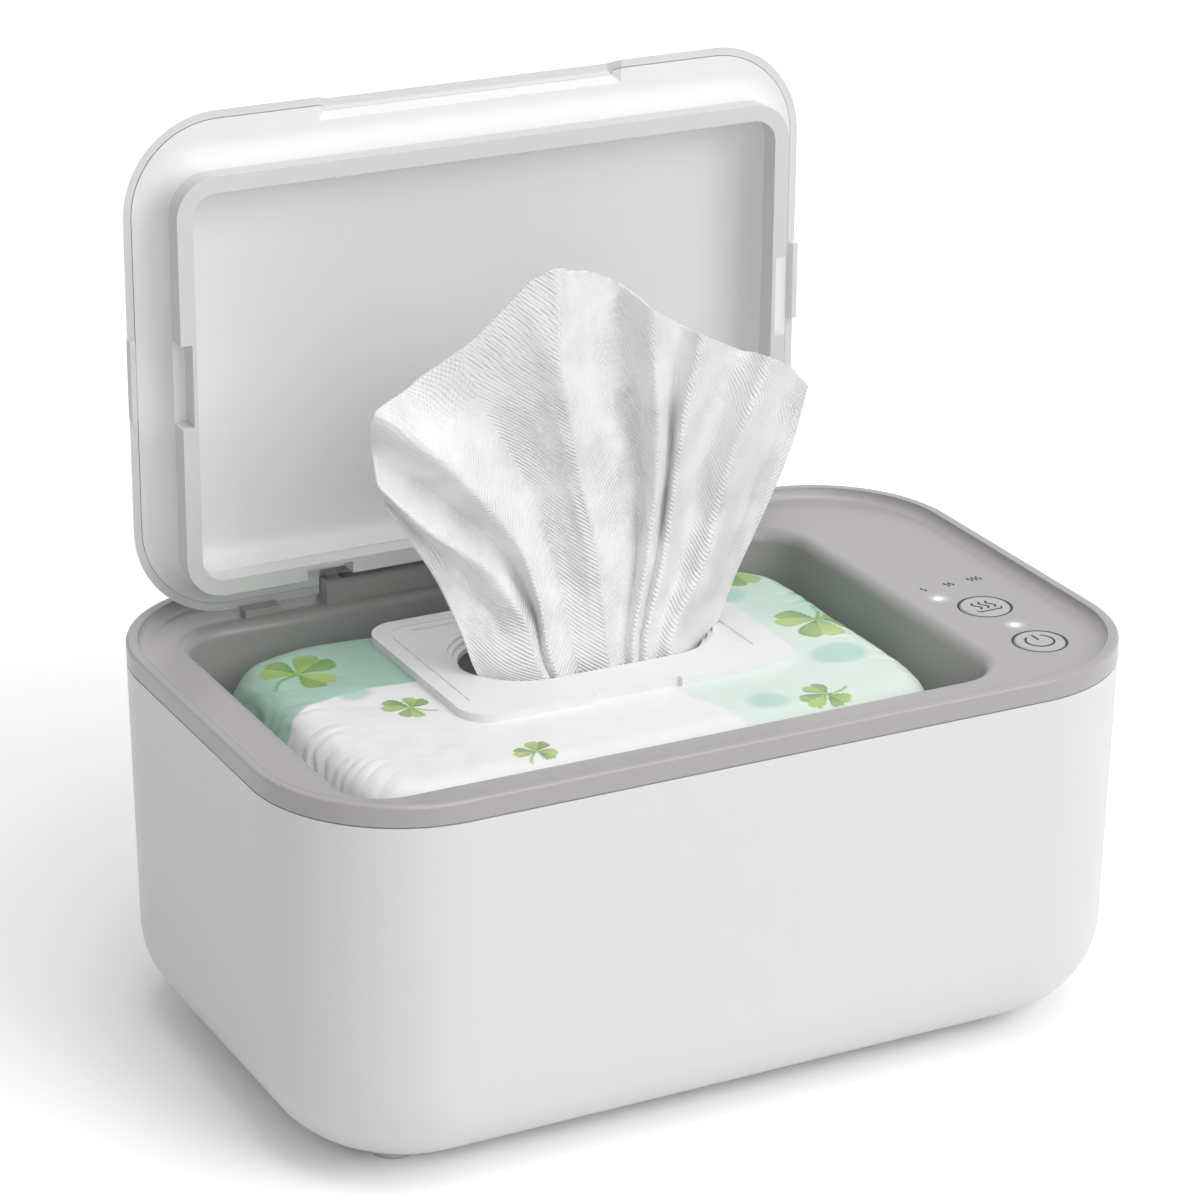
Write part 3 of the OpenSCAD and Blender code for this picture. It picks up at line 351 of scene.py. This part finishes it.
def smooth_nodes():
    """Curved faces shade round and sharp edges stay sharp."""
    for node in NODES.values():
        node.data.set_sharp_from_angle(angle=math.radians(SHARP_FROM))


dress_nodes()


# ---------- helpers for made pieces ----------

def grid_mesh(name, points, close_u=False, uvs=None, colors=None):
    """A mesh from an array of points [row, column]."""
    rows, cols = points.shape[:2]
    r, c = np.meshgrid(np.arange(rows - 1), np.arange(cols if close_u else cols - 1), indexing="ij")
    right = (c + 1) % cols
    quads = [r * cols + c, r * cols + right, (r + 1) * cols + right, (r + 1) * cols + c]
    quads = np.stack(quads, -1).reshape(-1, 4)
    mesh = bpy.data.meshes.new(name)
    mesh.from_pydata(points.reshape(-1, 3), [], quads.tolist())
    corner = quads.reshape(-1)
    if uvs is not None:
        layer = mesh.uv_layers.new(name="flat")
        layer.data.foreach_set("uv", uvs.reshape(-1, 2)[corner].astype(np.float32).ravel())
    if colors is not None:
        attribute = mesh.color_attributes.new("print", "FLOAT_COLOR", "POINT")
        full = np.concatenate([colors.reshape(-1, 3), np.ones((rows * cols, 1))], 1)
        attribute.data.foreach_set("color", full.astype(np.float32).ravel())
    mesh.polygons.foreach_set("use_smooth", np.ones(len(quads), bool))
    return add_object(name, mesh)


def waves(x, y, seed, scale, octaves):
    """Smooth seeded noise, about -1 to 1: turned sine waves, of which the longest is about scale."""
    rng = np.random.default_rng(seed)
    total, weight = np.zeros_like(x), 0.0
    for k in range(octaves):
        for _ in range(4):
            angle, phase = rng.uniform(0, 2 * math.pi, 2)
            size = scale / (1.8 ** k) * rng.uniform(0.8, 1.25)
            along = x * math.cos(angle) + y * math.sin(angle)
            total += np.sin(along * 2 * math.pi / size + phase) * 0.6 ** k
        weight += 2.0 * 0.6 ** k
    return total / weight


def slot_distance(x, y, w, l, r):
    """Distance outside a rounded rectangle, in mm; negative inside."""
    dx, dy = np.abs(x) - (w / 2 - r), np.abs(y) - (l / 2 - r)
    return np.hypot(np.maximum(dx, 0), np.maximum(dy, 0)) + np.minimum(np.maximum(dx, dy), 0) - r


def through(values, knots, q):
    """Smooth curve through values[k] at knots[k], at the places q; values may be arrays."""
    values = np.asarray(values, float)
    slope = np.gradient(values, knots, axis=0)
    i = np.clip(np.searchsorted(knots, q, side="right") - 1, 0, len(knots) - 2)
    gap = (knots[i + 1] - knots[i]).reshape(-1, *[1] * (values.ndim - 1))
    f = ((q - knots[i]) / (knots[i + 1] - knots[i])).reshape(gap.shape)
    h = f * f * (3 - 2 * f)
    return (values[i] * (1 - h) + values[i + 1] * h
            + gap * (f * (1 - f) ** 2 * slope[i] - f * f * (1 - f) * slope[i + 1]))


# ---------- the print on the pack ----------

MINT = np.array((0.43, 0.64, 0.54))
PALE_MINT = np.array((0.79, 0.90, 0.84))
AQUA = np.array((0.42, 0.72, 0.62))
WHITE = np.array((0.95, 0.95, 0.95))
GREEN_DARK = np.array((0.085, 0.25, 0.02))
GREEN = np.array((0.22, 0.44, 0.05))
GREEN_PALE = np.array((0.50, 0.66, 0.13))
# three-lobed sprigs: place, turn in degrees, size in mm
SPRIGS = [(-84, 27, 35, 13.5), (-66, -6, 150, 8.5), (-18, 49, 80, 8.0), (56, 41, 10, 12.5),
          (60, 0, 250, 14.0), (36, -47, 200, 9.0), (-50, -47, 60, 7.0)]
FIRST_SPRIG_SEED = 40
# the leaflets' turn in degrees and their length as a share of the sprig's size, then the stalk's
LEAFLETS = ((0, 1.0), (98, 0.88), (-98, 0.88))
STALK_TURN, STALK_REACH, STALK_HALF = 180, 0.9, 0.045
# soft round drops: place and radius in mm
DROPS = [(46, 27, 6.0), (53, -24, 8.0), (20, -44, 5.5), (-76, 8, 4.5)]


def sprig_print(paint, x, y, cx, cy, turn, size, seed):
    """A stalk with three notched leaflets, washed from dark to pale green."""
    def along_and_across(bend, reach):
        a = math.radians(turn + bend)
        return (((x - cx) * math.cos(a) + (y - cy) * math.sin(a)) / (size * reach),
                (-(x - cx) * math.sin(a) + (y - cy) * math.cos(a)) / (size * reach))

    wash = 0.5 + 0.5 * waves(x, y, seed, 1.6 * size, 2)
    for bend, reach in LEAFLETS:
        u, v = along_and_across(bend, reach)
        shape = 0.47 * np.sin(math.pi * np.clip(u, 0, 1) ** 1.5) ** 0.75
        notch = 0.16 * np.exp(-(v / 0.13) ** 2)
        inside = np.minimum(shape - np.abs(v), 1 - notch - u) * size
        mask = smooth(inside / 0.35 + 0.5) * (u > 0) * (u < 1)
        pale = np.clip(0.15 + 0.55 * u + 0.5 * (wash - 0.5) + 0.22 * np.sign(v), 0, 1)
        tint = mix(GREEN_DARK, GREEN_PALE, pale[..., None])
        paint(mask * (0.80 + 0.2 * smooth(1 - inside / 1.2)), tint)
        # the leaflet's middle vein and, from it, the side veins
        paint(mask * smooth(1 - np.abs(v) * size / 0.35) * 0.75, GREEN_PALE * 1.2)
        side_vein = 0.5 * np.abs(((u * 5 - np.abs(v) * 6) % 1.0) - 0.5) * (u > 0.15)
        paint(mask * smooth(0.16 - side_vein) * 0.5, GREEN)
    u, v = along_and_across(STALK_TURN, STALK_REACH)
    stalk = smooth((STALK_HALF - np.abs(v + 0.12 * np.sin(3 * u))) * size + 0.5)
    paint(stalk * (u > 0) * (u < 0.95), GREEN)


def pack_print(x, y):
    """Soft mint fields on white with a few three-lobed sprigs and drops."""
    color = np.tile(WHITE, (*x.shape, 1))

    def paint(mask, tint):
        nonlocal color
        color = mix(color, tint, mask[..., None])

    back = y - (9 + 13 * np.sin((x + 66) / 33.0) + 6 * np.sin((x + 10) / 17.0))
    right = (x - 9) * 0.80 - (y + 34) * 0.35 - 9 * np.sin((y - 6) / 15.0)
    paint(smooth(back / 1.6 + 0.5), MINT)
    paint(smooth(right / 2.2 + 0.5), PALE_MINT)
    paint(smooth(back / 1.6 + 0.5) * smooth((x - 40) / 30), MINT * 1.12)
    for cx, cy, r in DROPS:
        paint(0.7 * smooth((r - np.hypot(x - cx, (y - cy) * 1.15)) / 3.2 + 0.5), AQUA)
    for k, (cx, cy, turn, size) in enumerate(SPRIGS):
        sprig_print(paint, x, y, cx, cy, turn, size, FIRST_SPRIG_SEED + k)
    return color


# ---------- the pack of wipes ----------

PACK_LOW, PACK_HIGH = box_mm("wipe_pack")
FRAME_LOW, FRAME_HIGH = box_mm("dispenser_frame")
PACK_MID = (PACK_LOW + PACK_HIGH) / 2
PACK_HALF = (PACK_HIGH - PACK_LOW) / 2
FRAME_MID = (FRAME_LOW + FRAME_HIGH) / 2
# the dispenser frame and its mouth, in mm
FRAME_W, FRAME_L, FRAME_R = 99.0, 70.0, 11.0
MOUTH_W, MOUTH_L = 76.0, 40.0
MOUTH_Y = FRAME_HIGH[1] - 35.0
# the film's form: squareness of its plan, roundings, how far it lies inside the CAD solid, its top
CORNER_POWER = 8.0
SHOULDER = 9.5
FOOT_ROUND = 9.0
FILM_IN = 1.8
FILM_TOP = FRAME_HIGH[2] - 2.4
# points round the film, and rings on its foot, side, shoulder and top
PACK_TURNS, FOOT_RINGS, SIDE_RINGS, SHOULDER_RINGS, TOP_RINGS = 1400, 8, 34, 26, 150
# depth of the folds in mm: broad ones at the ends and long sides, fine ones, what the fine ones
# gain at the corners, and the most that all together may be
FOLD_ENDS, FOLD_SIDES, FOLD_FINE, FOLD_CORNER, FOLD_MOST = 1.3, 0.5, 0.12, 0.25, 2.0
SHOULDER_FOLD, SHOULDER_FINE = 0.5, 0.1
# the sides belly out by SWELL below the ledge that the shut lid reaches
SWELL, SEAL_LOW = 3.2, 96.5
# the top, in mm: its rise away from the frame, its slack, and how far the frame and the mouth's
# pocket hold it down
TOP_RISE, TOP_SLACK, TOP_FINE = 1.2, 0.25, 0.12
UNDER_FRAME, UNDER_MOUTH = 2.1, 9.0
# painted shade: the grey that the film takes under the frame and in the mouth's pocket
UNDER_FRAME_SHADE = (0.42, 0.42, 0.42)
SOFT_DEPTH = (0.002, 0.002, 0.002)


def pack_points():
    """Rings of the pack from its foot up to the middle of its top, and their flat places."""
    a = np.linspace(0, 2 * math.pi, PACK_TURNS, endpoint=False)[None, :]
    power = CORNER_POWER
    reach = (np.abs(np.cos(a)) ** power + np.abs(np.sin(a)) ** power) ** (-1 / power)
    ex, ey = reach * np.cos(a), reach * np.sin(a)
    height = FILM_TOP - PACK_LOW[2]
    side = height - FOOT_ROUND - SHOULDER
    # each ring: its share of the full plan, its inset and its height
    profile = [(0.02, 0.0, 0.0), (0.5, 0.0, 0.0)]
    for q in np.linspace(0, 90, FOOT_RINGS):
        turn = math.radians(q)
        profile.append((1, FOOT_ROUND * (1 - math.sin(turn)), FOOT_ROUND * (1 - math.cos(turn))))
    profile += [(1, 0, FOOT_ROUND + side * q) for q in np.linspace(0, 1, SIDE_RINGS)[1:-1]]
    for q in np.linspace(0, 90, SHOULDER_RINGS):
        turn = math.radians(q)
        profile.append((1, SHOULDER * (1 - math.cos(turn)),
                        height - SHOULDER * (1 - math.sin(turn))))
    profile += [(1 - q, SHOULDER, height) for q in np.linspace(0, 1, TOP_RINGS)[1:-1]]
    profile.append((0.004, SHOULDER, height))
    scale, inset, z = (np.array([p[k] for p in profile])[:, None] + 0 * a for k in range(3))
    x = (PACK_HALF[0] - FILM_IN - inset) * scale * ex
    y = (PACK_HALF[1] - FILM_IN - inset) * scale * ey
    # flat place on the printed film: the top as it is, the sides unrolled outwards
    down = np.maximum(height - z, 0)
    flat_x = x + ex * np.abs(ex) ** 3 * down
    flat_y = y + ey * np.abs(ey) ** 3 * down
    return x, y, z, flat_x, flat_y, height


def puckers(x, y, down):
    """How far the film is drawn in between its folds: 0 on a fold, 1 in the valley between two."""
    # way round the pack, in folds, quicker at the front corners where the folds crowd
    turn = np.unwrap(np.arctan2(y / PACK_HALF[1], x / PACK_HALF[0]), axis=1)
    way = turn * 8.6 + 1.1 * np.sin(turn * 3 + 0.6) + 0.9 * np.sin(turn * 2 - 1.2)
    way = way + 0.7 * waves(turn * 30, down * 0.9, 15, 22, 3) - 0.012 * down * np.sign(x * y)
    coarse = 1 - np.abs(np.sin(math.pi * way)) ** 1.1
    fine = 1 - np.abs(np.sin(math.pi * (way * 2.3 + 0.3 + 0.02 * down))) ** 0.9
    return coarse, fine


def film_material():
    m, t, shader = new_material("printed_film")
    ink_and_gap_shade = t.add("ShaderNodeVertexColor", layer_name="print")
    place = t.place()
    cloudy = t.add("ShaderNodeTexNoise", {"Vector": place, "Scale": 60.0, "Detail": 3.0})
    dim = t.spread(cloudy.outputs[0], to_min=0.96, to_max=1.02)
    tint = t.add("ShaderNodeVectorMath", {0: ink_and_gap_shade.outputs[0], "Scale": dim}, operation="SCALE")
    t.link(tint.outputs[0], shader.inputs["Base Color"])
    crinkle = t.add("ShaderNodeTexNoise", {"Vector": place, "Scale": 170.0, "Detail": 5.0,
                                            "Roughness": 0.5})
    bump = t.add("ShaderNodeBump", {"Height": crinkle.outputs[0], "Strength": 0.4,
                                     "Distance": 0.3 * MM})
    t.link(bump.outputs[0], shader.inputs["Normal"])
    set_shader(shader, {"Roughness": 0.30, "Subsurface Weight": 0.05,
                        "Subsurface Radius": SOFT_DEPTH})
    return m


def add_pack():
    x, y, z, flat_x, flat_y, height = pack_points()
    end = np.abs(x) / (PACK_HALF[0] - FILM_IN)
    side = np.abs(y) / (PACK_HALF[1] - FILM_IN)
    on_top = smooth((z - height + SHOULDER) / SHOULDER)
    below = smooth((height - z - 0.2) / 9.0)
    ends = smooth((end - 0.80) / 0.16)
    sides = smooth((side - 0.80) / 0.16)
    corner = smooth((end * side - 0.55) / 0.3)
    coarse, fine = puckers(x, y, height - z)
    strong = 0.15 + 0.85 * smooth(0.5 + 0.9 * waves(flat_x, flat_y, 52, 30, 2))
    coarse, fine = coarse * strong, fine * strong
    broad = below * (FOLD_ENDS * ends + FOLD_SIDES * sides) * coarse
    small = below * (FOLD_FINE + FOLD_CORNER * corner) * fine * ends
    deep = broad + small * (0.6 + 0.4 * waves(flat_x, flat_y, 33, 19, 2))
    swell = SWELL * smooth((SEAL_LOW - z - PACK_LOW[2]) / 9) * smooth((z - 4) / 30)
    push = swell * np.maximum(ends, 0.8 * sides) - np.clip(deep, 0, FOLD_MOST)
    length = np.hypot(x / PACK_HALF[0], y / PACK_HALF[1]) + 1e-6
    x = x + push * (x / PACK_HALF[0]) / length
    y = y + push * (y / PACK_HALF[1]) / length
    wx, wy = x + PACK_MID[0], y + PACK_MID[1]
    # top: a little loose film, held down round and under the stiff frame
    from_frame = (wx - FRAME_MID[0], wy - MOUTH_Y)
    held = slot_distance(*from_frame, FRAME_W, FRAME_L, FRAME_R)
    loose = smooth((held - 1) / 12)
    shoulder = smooth((end - 0.78) / 0.2)
    drop = -TOP_RISE * smooth(held / 16) + TOP_SLACK * loose * (1 - waves(x, y, 11, 40, 3))
    drop = drop + TOP_FINE * loose * (1 - waves(x, y, 3, 12, 2))
    drop = drop + (SHOULDER_FOLD * coarse + SHOULDER_FINE * fine) * shoulder * loose
    under = smooth((-held - 0.3) / 1.2)
    mouth = slot_distance(*from_frame, MOUTH_W + 3, MOUTH_L + 3, MOUTH_L / 2 + 1.4)
    pocket = smooth(-mouth / 2.0)
    top = on_top > 0.5
    z = z - on_top * drop - (UNDER_FRAME * under + UNDER_MOUTH * pocket) * top
    points = np.stack([wx, wy, z + PACK_LOW[2]], -1) * MM
    colors = pack_print(flat_x + PACK_MID[0], flat_y + PACK_MID[1])
    # painted shade: the film under the frame and in the mouth's pocket is darkened towards a grey
    colors = mix(colors, UNDER_FRAME_SHADE, (under * top)[..., None])
    pack = grid_mesh("pack_film", points, close_u=True, colors=colors)
    pack.data.materials.append(film_material())
    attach(pack, "housing")
    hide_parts("wipe_pack")


# ---------- wipe ----------

# Rays of the wipe from left to right, in mm: where each stands in the mouth, how far its fold comes
# to the front, and the places (across, up) that it passes as they lie on the upright plane EDGE_Y
RAYS = [
    (-37.5, 0.0, (-39.5, 101.0), (-46.5, 117.0), (-53.0, 132.0), (-60.5, 144.5), (-67.5, 155.7)),
    (-29.5, -2.0, (-31.0, 101.0), (-36.5, 115.5), (-45.5, 131.0), (-58.0, 146.5), (-68.3, 158.0)),
    (-23.5, 4.6, (-22.6, 101.0), (-26.5, 114.5), (-37.5, 132.0), (-56.4, 148.0), (-69.5, 161.5)),
    (-22.0, -3.6, (-20.6, 101.0), (-25.0, 119.0), (-35.5, 138.5), (-54.5, 157.0), (-71.6, 171.0)),
    (-20.0, 4.4, (-18.2, 101.0), (-23.6, 124.0), (-32.0, 142.5), (-50.5, 164.0), (-70.2, 181.0)),
    (-15.5, -4.0, (-13.8, 101.0), (-19.8, 127.0), (-28.5, 152.0), (-43.5, 176.0), (-58.0, 189.2)),
    (-10.0, -0.8, (-8.6, 101.0), (-12.6, 128.0), (-19.5, 157.0), (-29.0, 182.0), (-38.0, 200.3)),
    (-6.0, 4.6, (-2.4, 101.0), (-5.4, 127.0), (-11.8, 157.0), (-17.0, 184.0), (-19.6, 211.6)),
    (-4.8, 1.6, (-0.8, 101.0), (-2.2, 127.0), (-6.6, 155.0), (-11.0, 182.0), (-14.2, 211.9)),
    (-3.2, -1.6, (0.7, 101.0), (2.0, 127.0), (0.2, 153.0), (-4.6, 179.0), (-8.2, 211.2)),
    (-0.8, -4.0, (3.0, 101.0), (5.8, 127.0), (6.2, 152.0), (3.4, 176.0), (0.4, 207.2)),
    (1.0, 4.4, (5.3, 101.0), (9.2, 127.0), (11.8, 150.0), (11.5, 174.0), (9.6, 198.2)),
    (3.0, -1.8, (7.2, 101.0), (12.0, 127.0), (15.2, 148.0), (16.6, 170.0), (18.0, 193.2)),
    (5.0, 4.6, (9.2, 101.0), (14.6, 126.0), (17.6, 147.0), (20.6, 168.0), (25.7, 188.4)),
    (9.0, -4.2, (12.8, 101.0), (20.0, 124.0), (24.6, 143.0), (29.6, 163.0), (37.0, 183.6)),
    (13.5, 3.8, (17.0, 101.0), (26.4, 122.0), (31.8, 141.0), (38.0, 160.0), (47.0, 178.9)),
    (19.5, -1.2, (22.8, 101.0), (31.6, 119.5), (39.4, 138.0), (46.6, 156.0), (54.0, 174.6)),
    (25.0, 0.0, (28.4, 101.0), (36.8, 118.8), (45.2, 135.2), (53.2, 152.8), (58.2, 169.6))]
RAY_STEPS = np.array([0, 0.07, 0.28, 0.52, 0.77, 1.0])
CRESTS = [i for i, ray in enumerate(RAYS) if ray[1] > 2]
EDGE_Y = 5.0
WIPE_T = 0.6
WIPE_FLAT = (150.0, 125.0)
# points across and up the wipe, how deep its foot stands in the mouth, and the mouth's rim round it
WIPE_ACROSS, WIPE_UP = 520, 320
FOOT_DEEP = 6
RIM = 4.4
# how far across and up a point seems to move on that plane for each mm that it lies behind it
VIEW_ACROSS = math.tan(CAMERA_TURN)
VIEW_UP = -math.tan(CAMERA_DOWN) / math.cos(CAMERA_TURN)
# share of a fold's depth at the foot, and what it gains in the middle and near the top
FOLD_FOOT, FOLD_MIDDLE, FOLD_TOP = 0.22, 0.50, 0.40
# the rounded left shoulder of the peak: its rise in mm, its place and half width as shares across
PEAK_RISE, PEAK_AT, PEAK_HALF = 2.6, 0.385, 0.03
# the embossing, in mm: the pitch of the rows and of the dots, and how steeply rows fall off a crest
ROW_PITCH, DOT_PITCH, ROW_SLANT = 1.25, 1.50, 0.95
FLAT_UNIT = 100


def slot_y(x):
    """Where the wipe stands against the front half of the mouth."""
    inner_l, inner_w = MOUTH_L / 2 - RIM, MOUTH_W / 2 - RIM
    reach = np.maximum(np.abs(x - FRAME_MID[0]) - (inner_w - inner_l), 0)
    return MOUTH_Y - np.sqrt(np.maximum(inner_l ** 2 - reach ** 2, 0))


def wipe_points():
    """Points [row up, column across] in mm, and each one's share across and up."""
    low = FRAME_HIGH[2] - FOOT_DEEP
    base_x = np.array([ray[0] for ray in RAYS])
    base_y = slot_y(base_x)
    seen = np.array([ray[2:] for ray in RAYS])
    behind = base_y - EDGE_Y
    foot = np.stack([base_x - VIEW_ACROSS * behind, low - VIEW_UP * behind], -1)
    paths = np.concatenate([foot[:, None], seen], 1)
    knots = np.linspace(0, 1, len(RAYS))
    s, t = np.linspace(0, 1, WIPE_ACROSS), np.linspace(0, 1, WIPE_UP)
    lines = through(paths.transpose(1, 0, 2), RAY_STEPS, t)
    flat = through(lines.transpose(1, 0, 2), knots, s).transpose(1, 0, 2)
    stand = through(base_y, knots, s)[None, :]
    fold = through([ray[1] for ray in RAYS], knots, s)[None, :]
    s, t = np.meshgrid(s, t)
    width = s * WIPE_FLAT[0]
    rise = FOLD_FOOT + FOLD_MIDDLE * smooth(t / 0.45) + FOLD_TOP * smooth((t - 0.4) / 0.4)
    y = mix(stand, EDGE_Y, smooth(t / 0.5)) - fold * rise
    fine = 0.7 * waves(width, t * 26, 21, 15, 3) + 1.0 * waves(width, t * 60, 8, 42, 2)
    y = y + fine * smooth((t - 0.05) / 0.3)
    x = flat[..., 0] + VIEW_ACROSS * (y - EDGE_Y)
    z = flat[..., 1] + VIEW_UP * (y - EDGE_Y)
    z = z + t ** 8 * 0.35 * waves(width, 0 * s, 4, 9, 2)
    z = z + t ** 6 * PEAK_RISE * np.exp(-((s - PEAK_AT) / PEAK_HALF) ** 2)
    return np.stack([x, y, z], -1), s, t


def cloth_material():
    """Embossed nonwoven: rows of short strokes along the folds, fine dots near the free edges, and
    painted shade in the emboss's dips.
    """
    m, n, shader = new_material("embossed_nonwoven")
    flat = n.add("ShaderNodeSeparateXYZ", {0: n.add("ShaderNodeUVMap", uv_map="flat").outputs[0]})
    dotted = n.add("ShaderNodeAttribute", attribute_name="dotted").outputs["Fac"]
    row, along = (
        n.math("SINE", n.math("MULTIPLY", flat.outputs[axis], 2 * math.pi * FLAT_UNIT / pitch))
        for axis, pitch in ((0, ROW_PITCH), (1, DOT_PITCH)))
    half_row = n.math("MULTIPLY", n.math("ADD", row, 1.0), 0.5)
    dots = n.math("SUBTRACT", n.math("MULTIPLY", n.math("ADD", along, 1.0), half_row), 1.0)
    weave = n.math("ADD", n.math("MULTIPLY", dots, dotted),
                   n.math("MULTIPLY", row, n.math("SUBTRACT", 1.0, dotted)))
    place = n.place()
    fuzz = n.add("ShaderNodeTexNoise", {"Vector": place, "Scale": 1500.0, "Detail": 4.0})
    soft = n.add("ShaderNodeTexNoise", {"Vector": place, "Scale": 90.0, "Detail": 3.0})
    worn = n.spread(soft.outputs[0], from_min=0.35, from_max=0.62, to_min=0.12, to_max=0.55)
    height = n.math("ADD", n.math("MULTIPLY", weave, worn),
                    n.math("MULTIPLY", fuzz.outputs[0], 0.35))
    bump = n.add("ShaderNodeBump", {"Height": height, "Strength": 0.75, "Distance": 0.5 * MM})
    n.link(bump.outputs[0], shader.inputs["Normal"])
    # painted shade: the emboss's dips are coloured a little darker than its raised rows
    emboss_shade = n.spread(weave, from_min=-1.0, from_max=1.0)
    color = n.mix_color(emboss_shade, (0.96, 0.955, 0.955), (0.995, 0.99, 0.99))
    n.link(color, shader.inputs["Base Color"])
    set_shader(shader, {"Roughness": 0.6, "Sheen Weight": 0.2, "Subsurface Weight": 0.12,
                        "Subsurface Radius": SOFT_DEPTH})
    return m


def add_wipe():
    points, s, t = wipe_points()
    climb, across = np.zeros(s.shape), np.zeros(s.shape)
    climb[1:] = np.cumsum(np.linalg.norm(np.diff(points, axis=0), axis=2), axis=0)
    across[:, 1:] = np.cumsum(np.linalg.norm(np.diff(points, axis=1), axis=2), axis=1)
    columns = [int(round(i / (len(RAYS) - 1) * (WIPE_ACROSS - 1))) for i in CRESTS]
    from_crest = np.min([np.abs(across - across[:, c:c + 1]) for c in columns], axis=0)
    rows = climb - ROW_SLANT * from_crest
    # fine dots at the top and at the left edge
    at_left = smooth((0.24 - s) / 0.16) * smooth((t - 0.35) / 0.3)
    edge = np.maximum(smooth((t - 0.62) / 0.3), at_left)
    wipe = grid_mesh("wipe_cloth", points * MM, uvs=np.stack([rows, across], -1) / FLAT_UNIT)
    share = wipe.data.attributes.new("dotted", "FLOAT", "POINT")
    share.data.foreach_set("value", edge.astype(np.float32).ravel())
    thick = wipe.modifiers.new("thickness", "SOLIDIFY")
    thick.thickness = WIPE_T * MM
    thick.offset = 0
    wipe.data.materials.append(cloth_material())
    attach(wipe, "housing")
    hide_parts("wipe_sheet")
    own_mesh(wipe)


# ---------- signs on the panel, and the painted shade round the buttons ---

BUTTONS = ("heat_button", "power_button")
# the thickness of a printed or painted line, the line widths in mm of the signs, the level marks and
# the painted shade round the buttons, and how far a button stands above the deck
INK_T = 0.03
GLYPH_LINE, MARK_LINE, GAP_SHADE_LINE = 0.62, 0.5, 0.45
BUTTON_STANDS = 0.2
# from the edge of a button's flange to the middle of the painted shade line round its hole, a dark
# ring that stands for the shadow in the gap
GAP_SHADE_FROM_FLANGE = -0.95
# the power sign: an open ring with a bar in its gap
RING_R, RING_FROM, RING_TO = 3.9, 122, 418
BAR_FROM, BAR_TO = 0.6, 4.2
# the heat sign: three rising waves over a tray
WAVE_STEP, WAVE_UP, WAVE_HIGH, WAVE_WIDE = 2.2, 0.8, 4.8, 0.75
TRAY = ((-3.9, -2.0), (-3.4, -3.2), (3.4, -3.2), (3.9, -2.0))
# the level marks behind the heat button: one, two and three small waves
MARKS_X, MARKS_UP = (-8.7, -0.2, 8.3), 18.2
MARK_STEP, MARK_CLIMB, MARK_HIGH, MARK_WIDE = 1.4, 0.8, 2.6, 0.45


def strokes(name, lines, z, thick, material, body):
    """Thin dark lines, printed signs and painted shade: each a list of (x, y) in mm, drawn as a flat
    ribbon at the height z.
    """
    verts, faces = [], []
    for line in lines:
        p = np.array(line, float)
        d = np.gradient(p, axis=0)
        d /= np.linalg.norm(d, axis=1, keepdims=True) + 1e-9
        side = np.stack([-d[:, 1], d[:, 0]], 1) * thick / 2
        first = len(verts)
        for q, w in zip(p, side):
            verts += [(q[0] + w[0], q[1] + w[1], z), (q[0] - w[0], q[1] - w[1], z)]
        starts = range(first, first + 2 * (len(p) - 1), 2)
        faces += [(i, i + 1, i + 3, i + 2) for i in starts]
    mesh = bpy.data.meshes.new(name)
    mesh.from_pydata([(a * MM, b * MM, c * MM) for a, b, c in verts], [], faces)
    piece = add_object(name, mesh)
    solid = piece.modifiers.new("ink_and_gap_shade", "SOLIDIFY")
    solid.thickness = INK_T * MM
    solid.offset = 0
    mesh.materials.append(material)
    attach(piece, body)
    return piece


def arc(cx, cy, r, a0, a1, n=40):
    a = np.radians(np.linspace(a0, a1, n))
    return np.stack([cx + r * np.cos(a), cy + r * np.sin(a)], 1)


def s_wave(cx, cy, high, wide):
    q = np.linspace(-0.5, 0.5, 24)
    return np.stack([cx - wide * np.sin(2 * math.pi * q), cy + high * q], 1)


def add_signs():
    ink_and_gap_shade = moulded("dark_ink_and_gap_shade", (0.02, 0.02, 0.02), 0.5)
    gap_shade_rings = []
    for button in BUTTONS:
        low, high = box_mm(button)
        cx, cy, top = (low[0] + high[0]) / 2, (low[1] + high[1]) / 2, high[2] + INK_T
        # painted shade: a dark ring round each button's hole, for the shadow in the gap round it
        gap_shade_rings.append(arc(cx, cy, (high[0] - low[0]) / 2 + GAP_SHADE_FROM_FLANGE, 0, 360, 90))
        if button == "power_button":
            lines = [arc(cx, cy, RING_R, RING_FROM, RING_TO),
                     [(cx, cy + BAR_FROM), (cx, cy + BAR_TO)]]
        else:
            deck = top - BUTTON_STANDS
            lines = [s_wave(cx + k * WAVE_STEP, cy + WAVE_UP, WAVE_HIGH, WAVE_WIDE)
                     for k in (-1, 0, 1)]
            lines.append([(cx + dx, cy + dy) for dx, dy in TRAY])
            marks = [s_wave(cx + dx + (j - k / 2) * MARK_STEP, cy + MARKS_UP + MARK_CLIMB * k / 2,
                            MARK_HIGH, MARK_WIDE)
                     for k, dx in enumerate(MARKS_X) for j in range(k + 1)]
        strokes(button + "_sign", lines, top, GLYPH_LINE, ink_and_gap_shade, button)
    strokes("level_marks", marks, deck, MARK_LINE, ink_and_gap_shade, "housing")
    strokes("button_gap_shade", gap_shade_rings, deck, GAP_SHADE_LINE, ink_and_gap_shade, "housing")


add_pack()
add_wipe()
add_signs()
smooth_nodes()
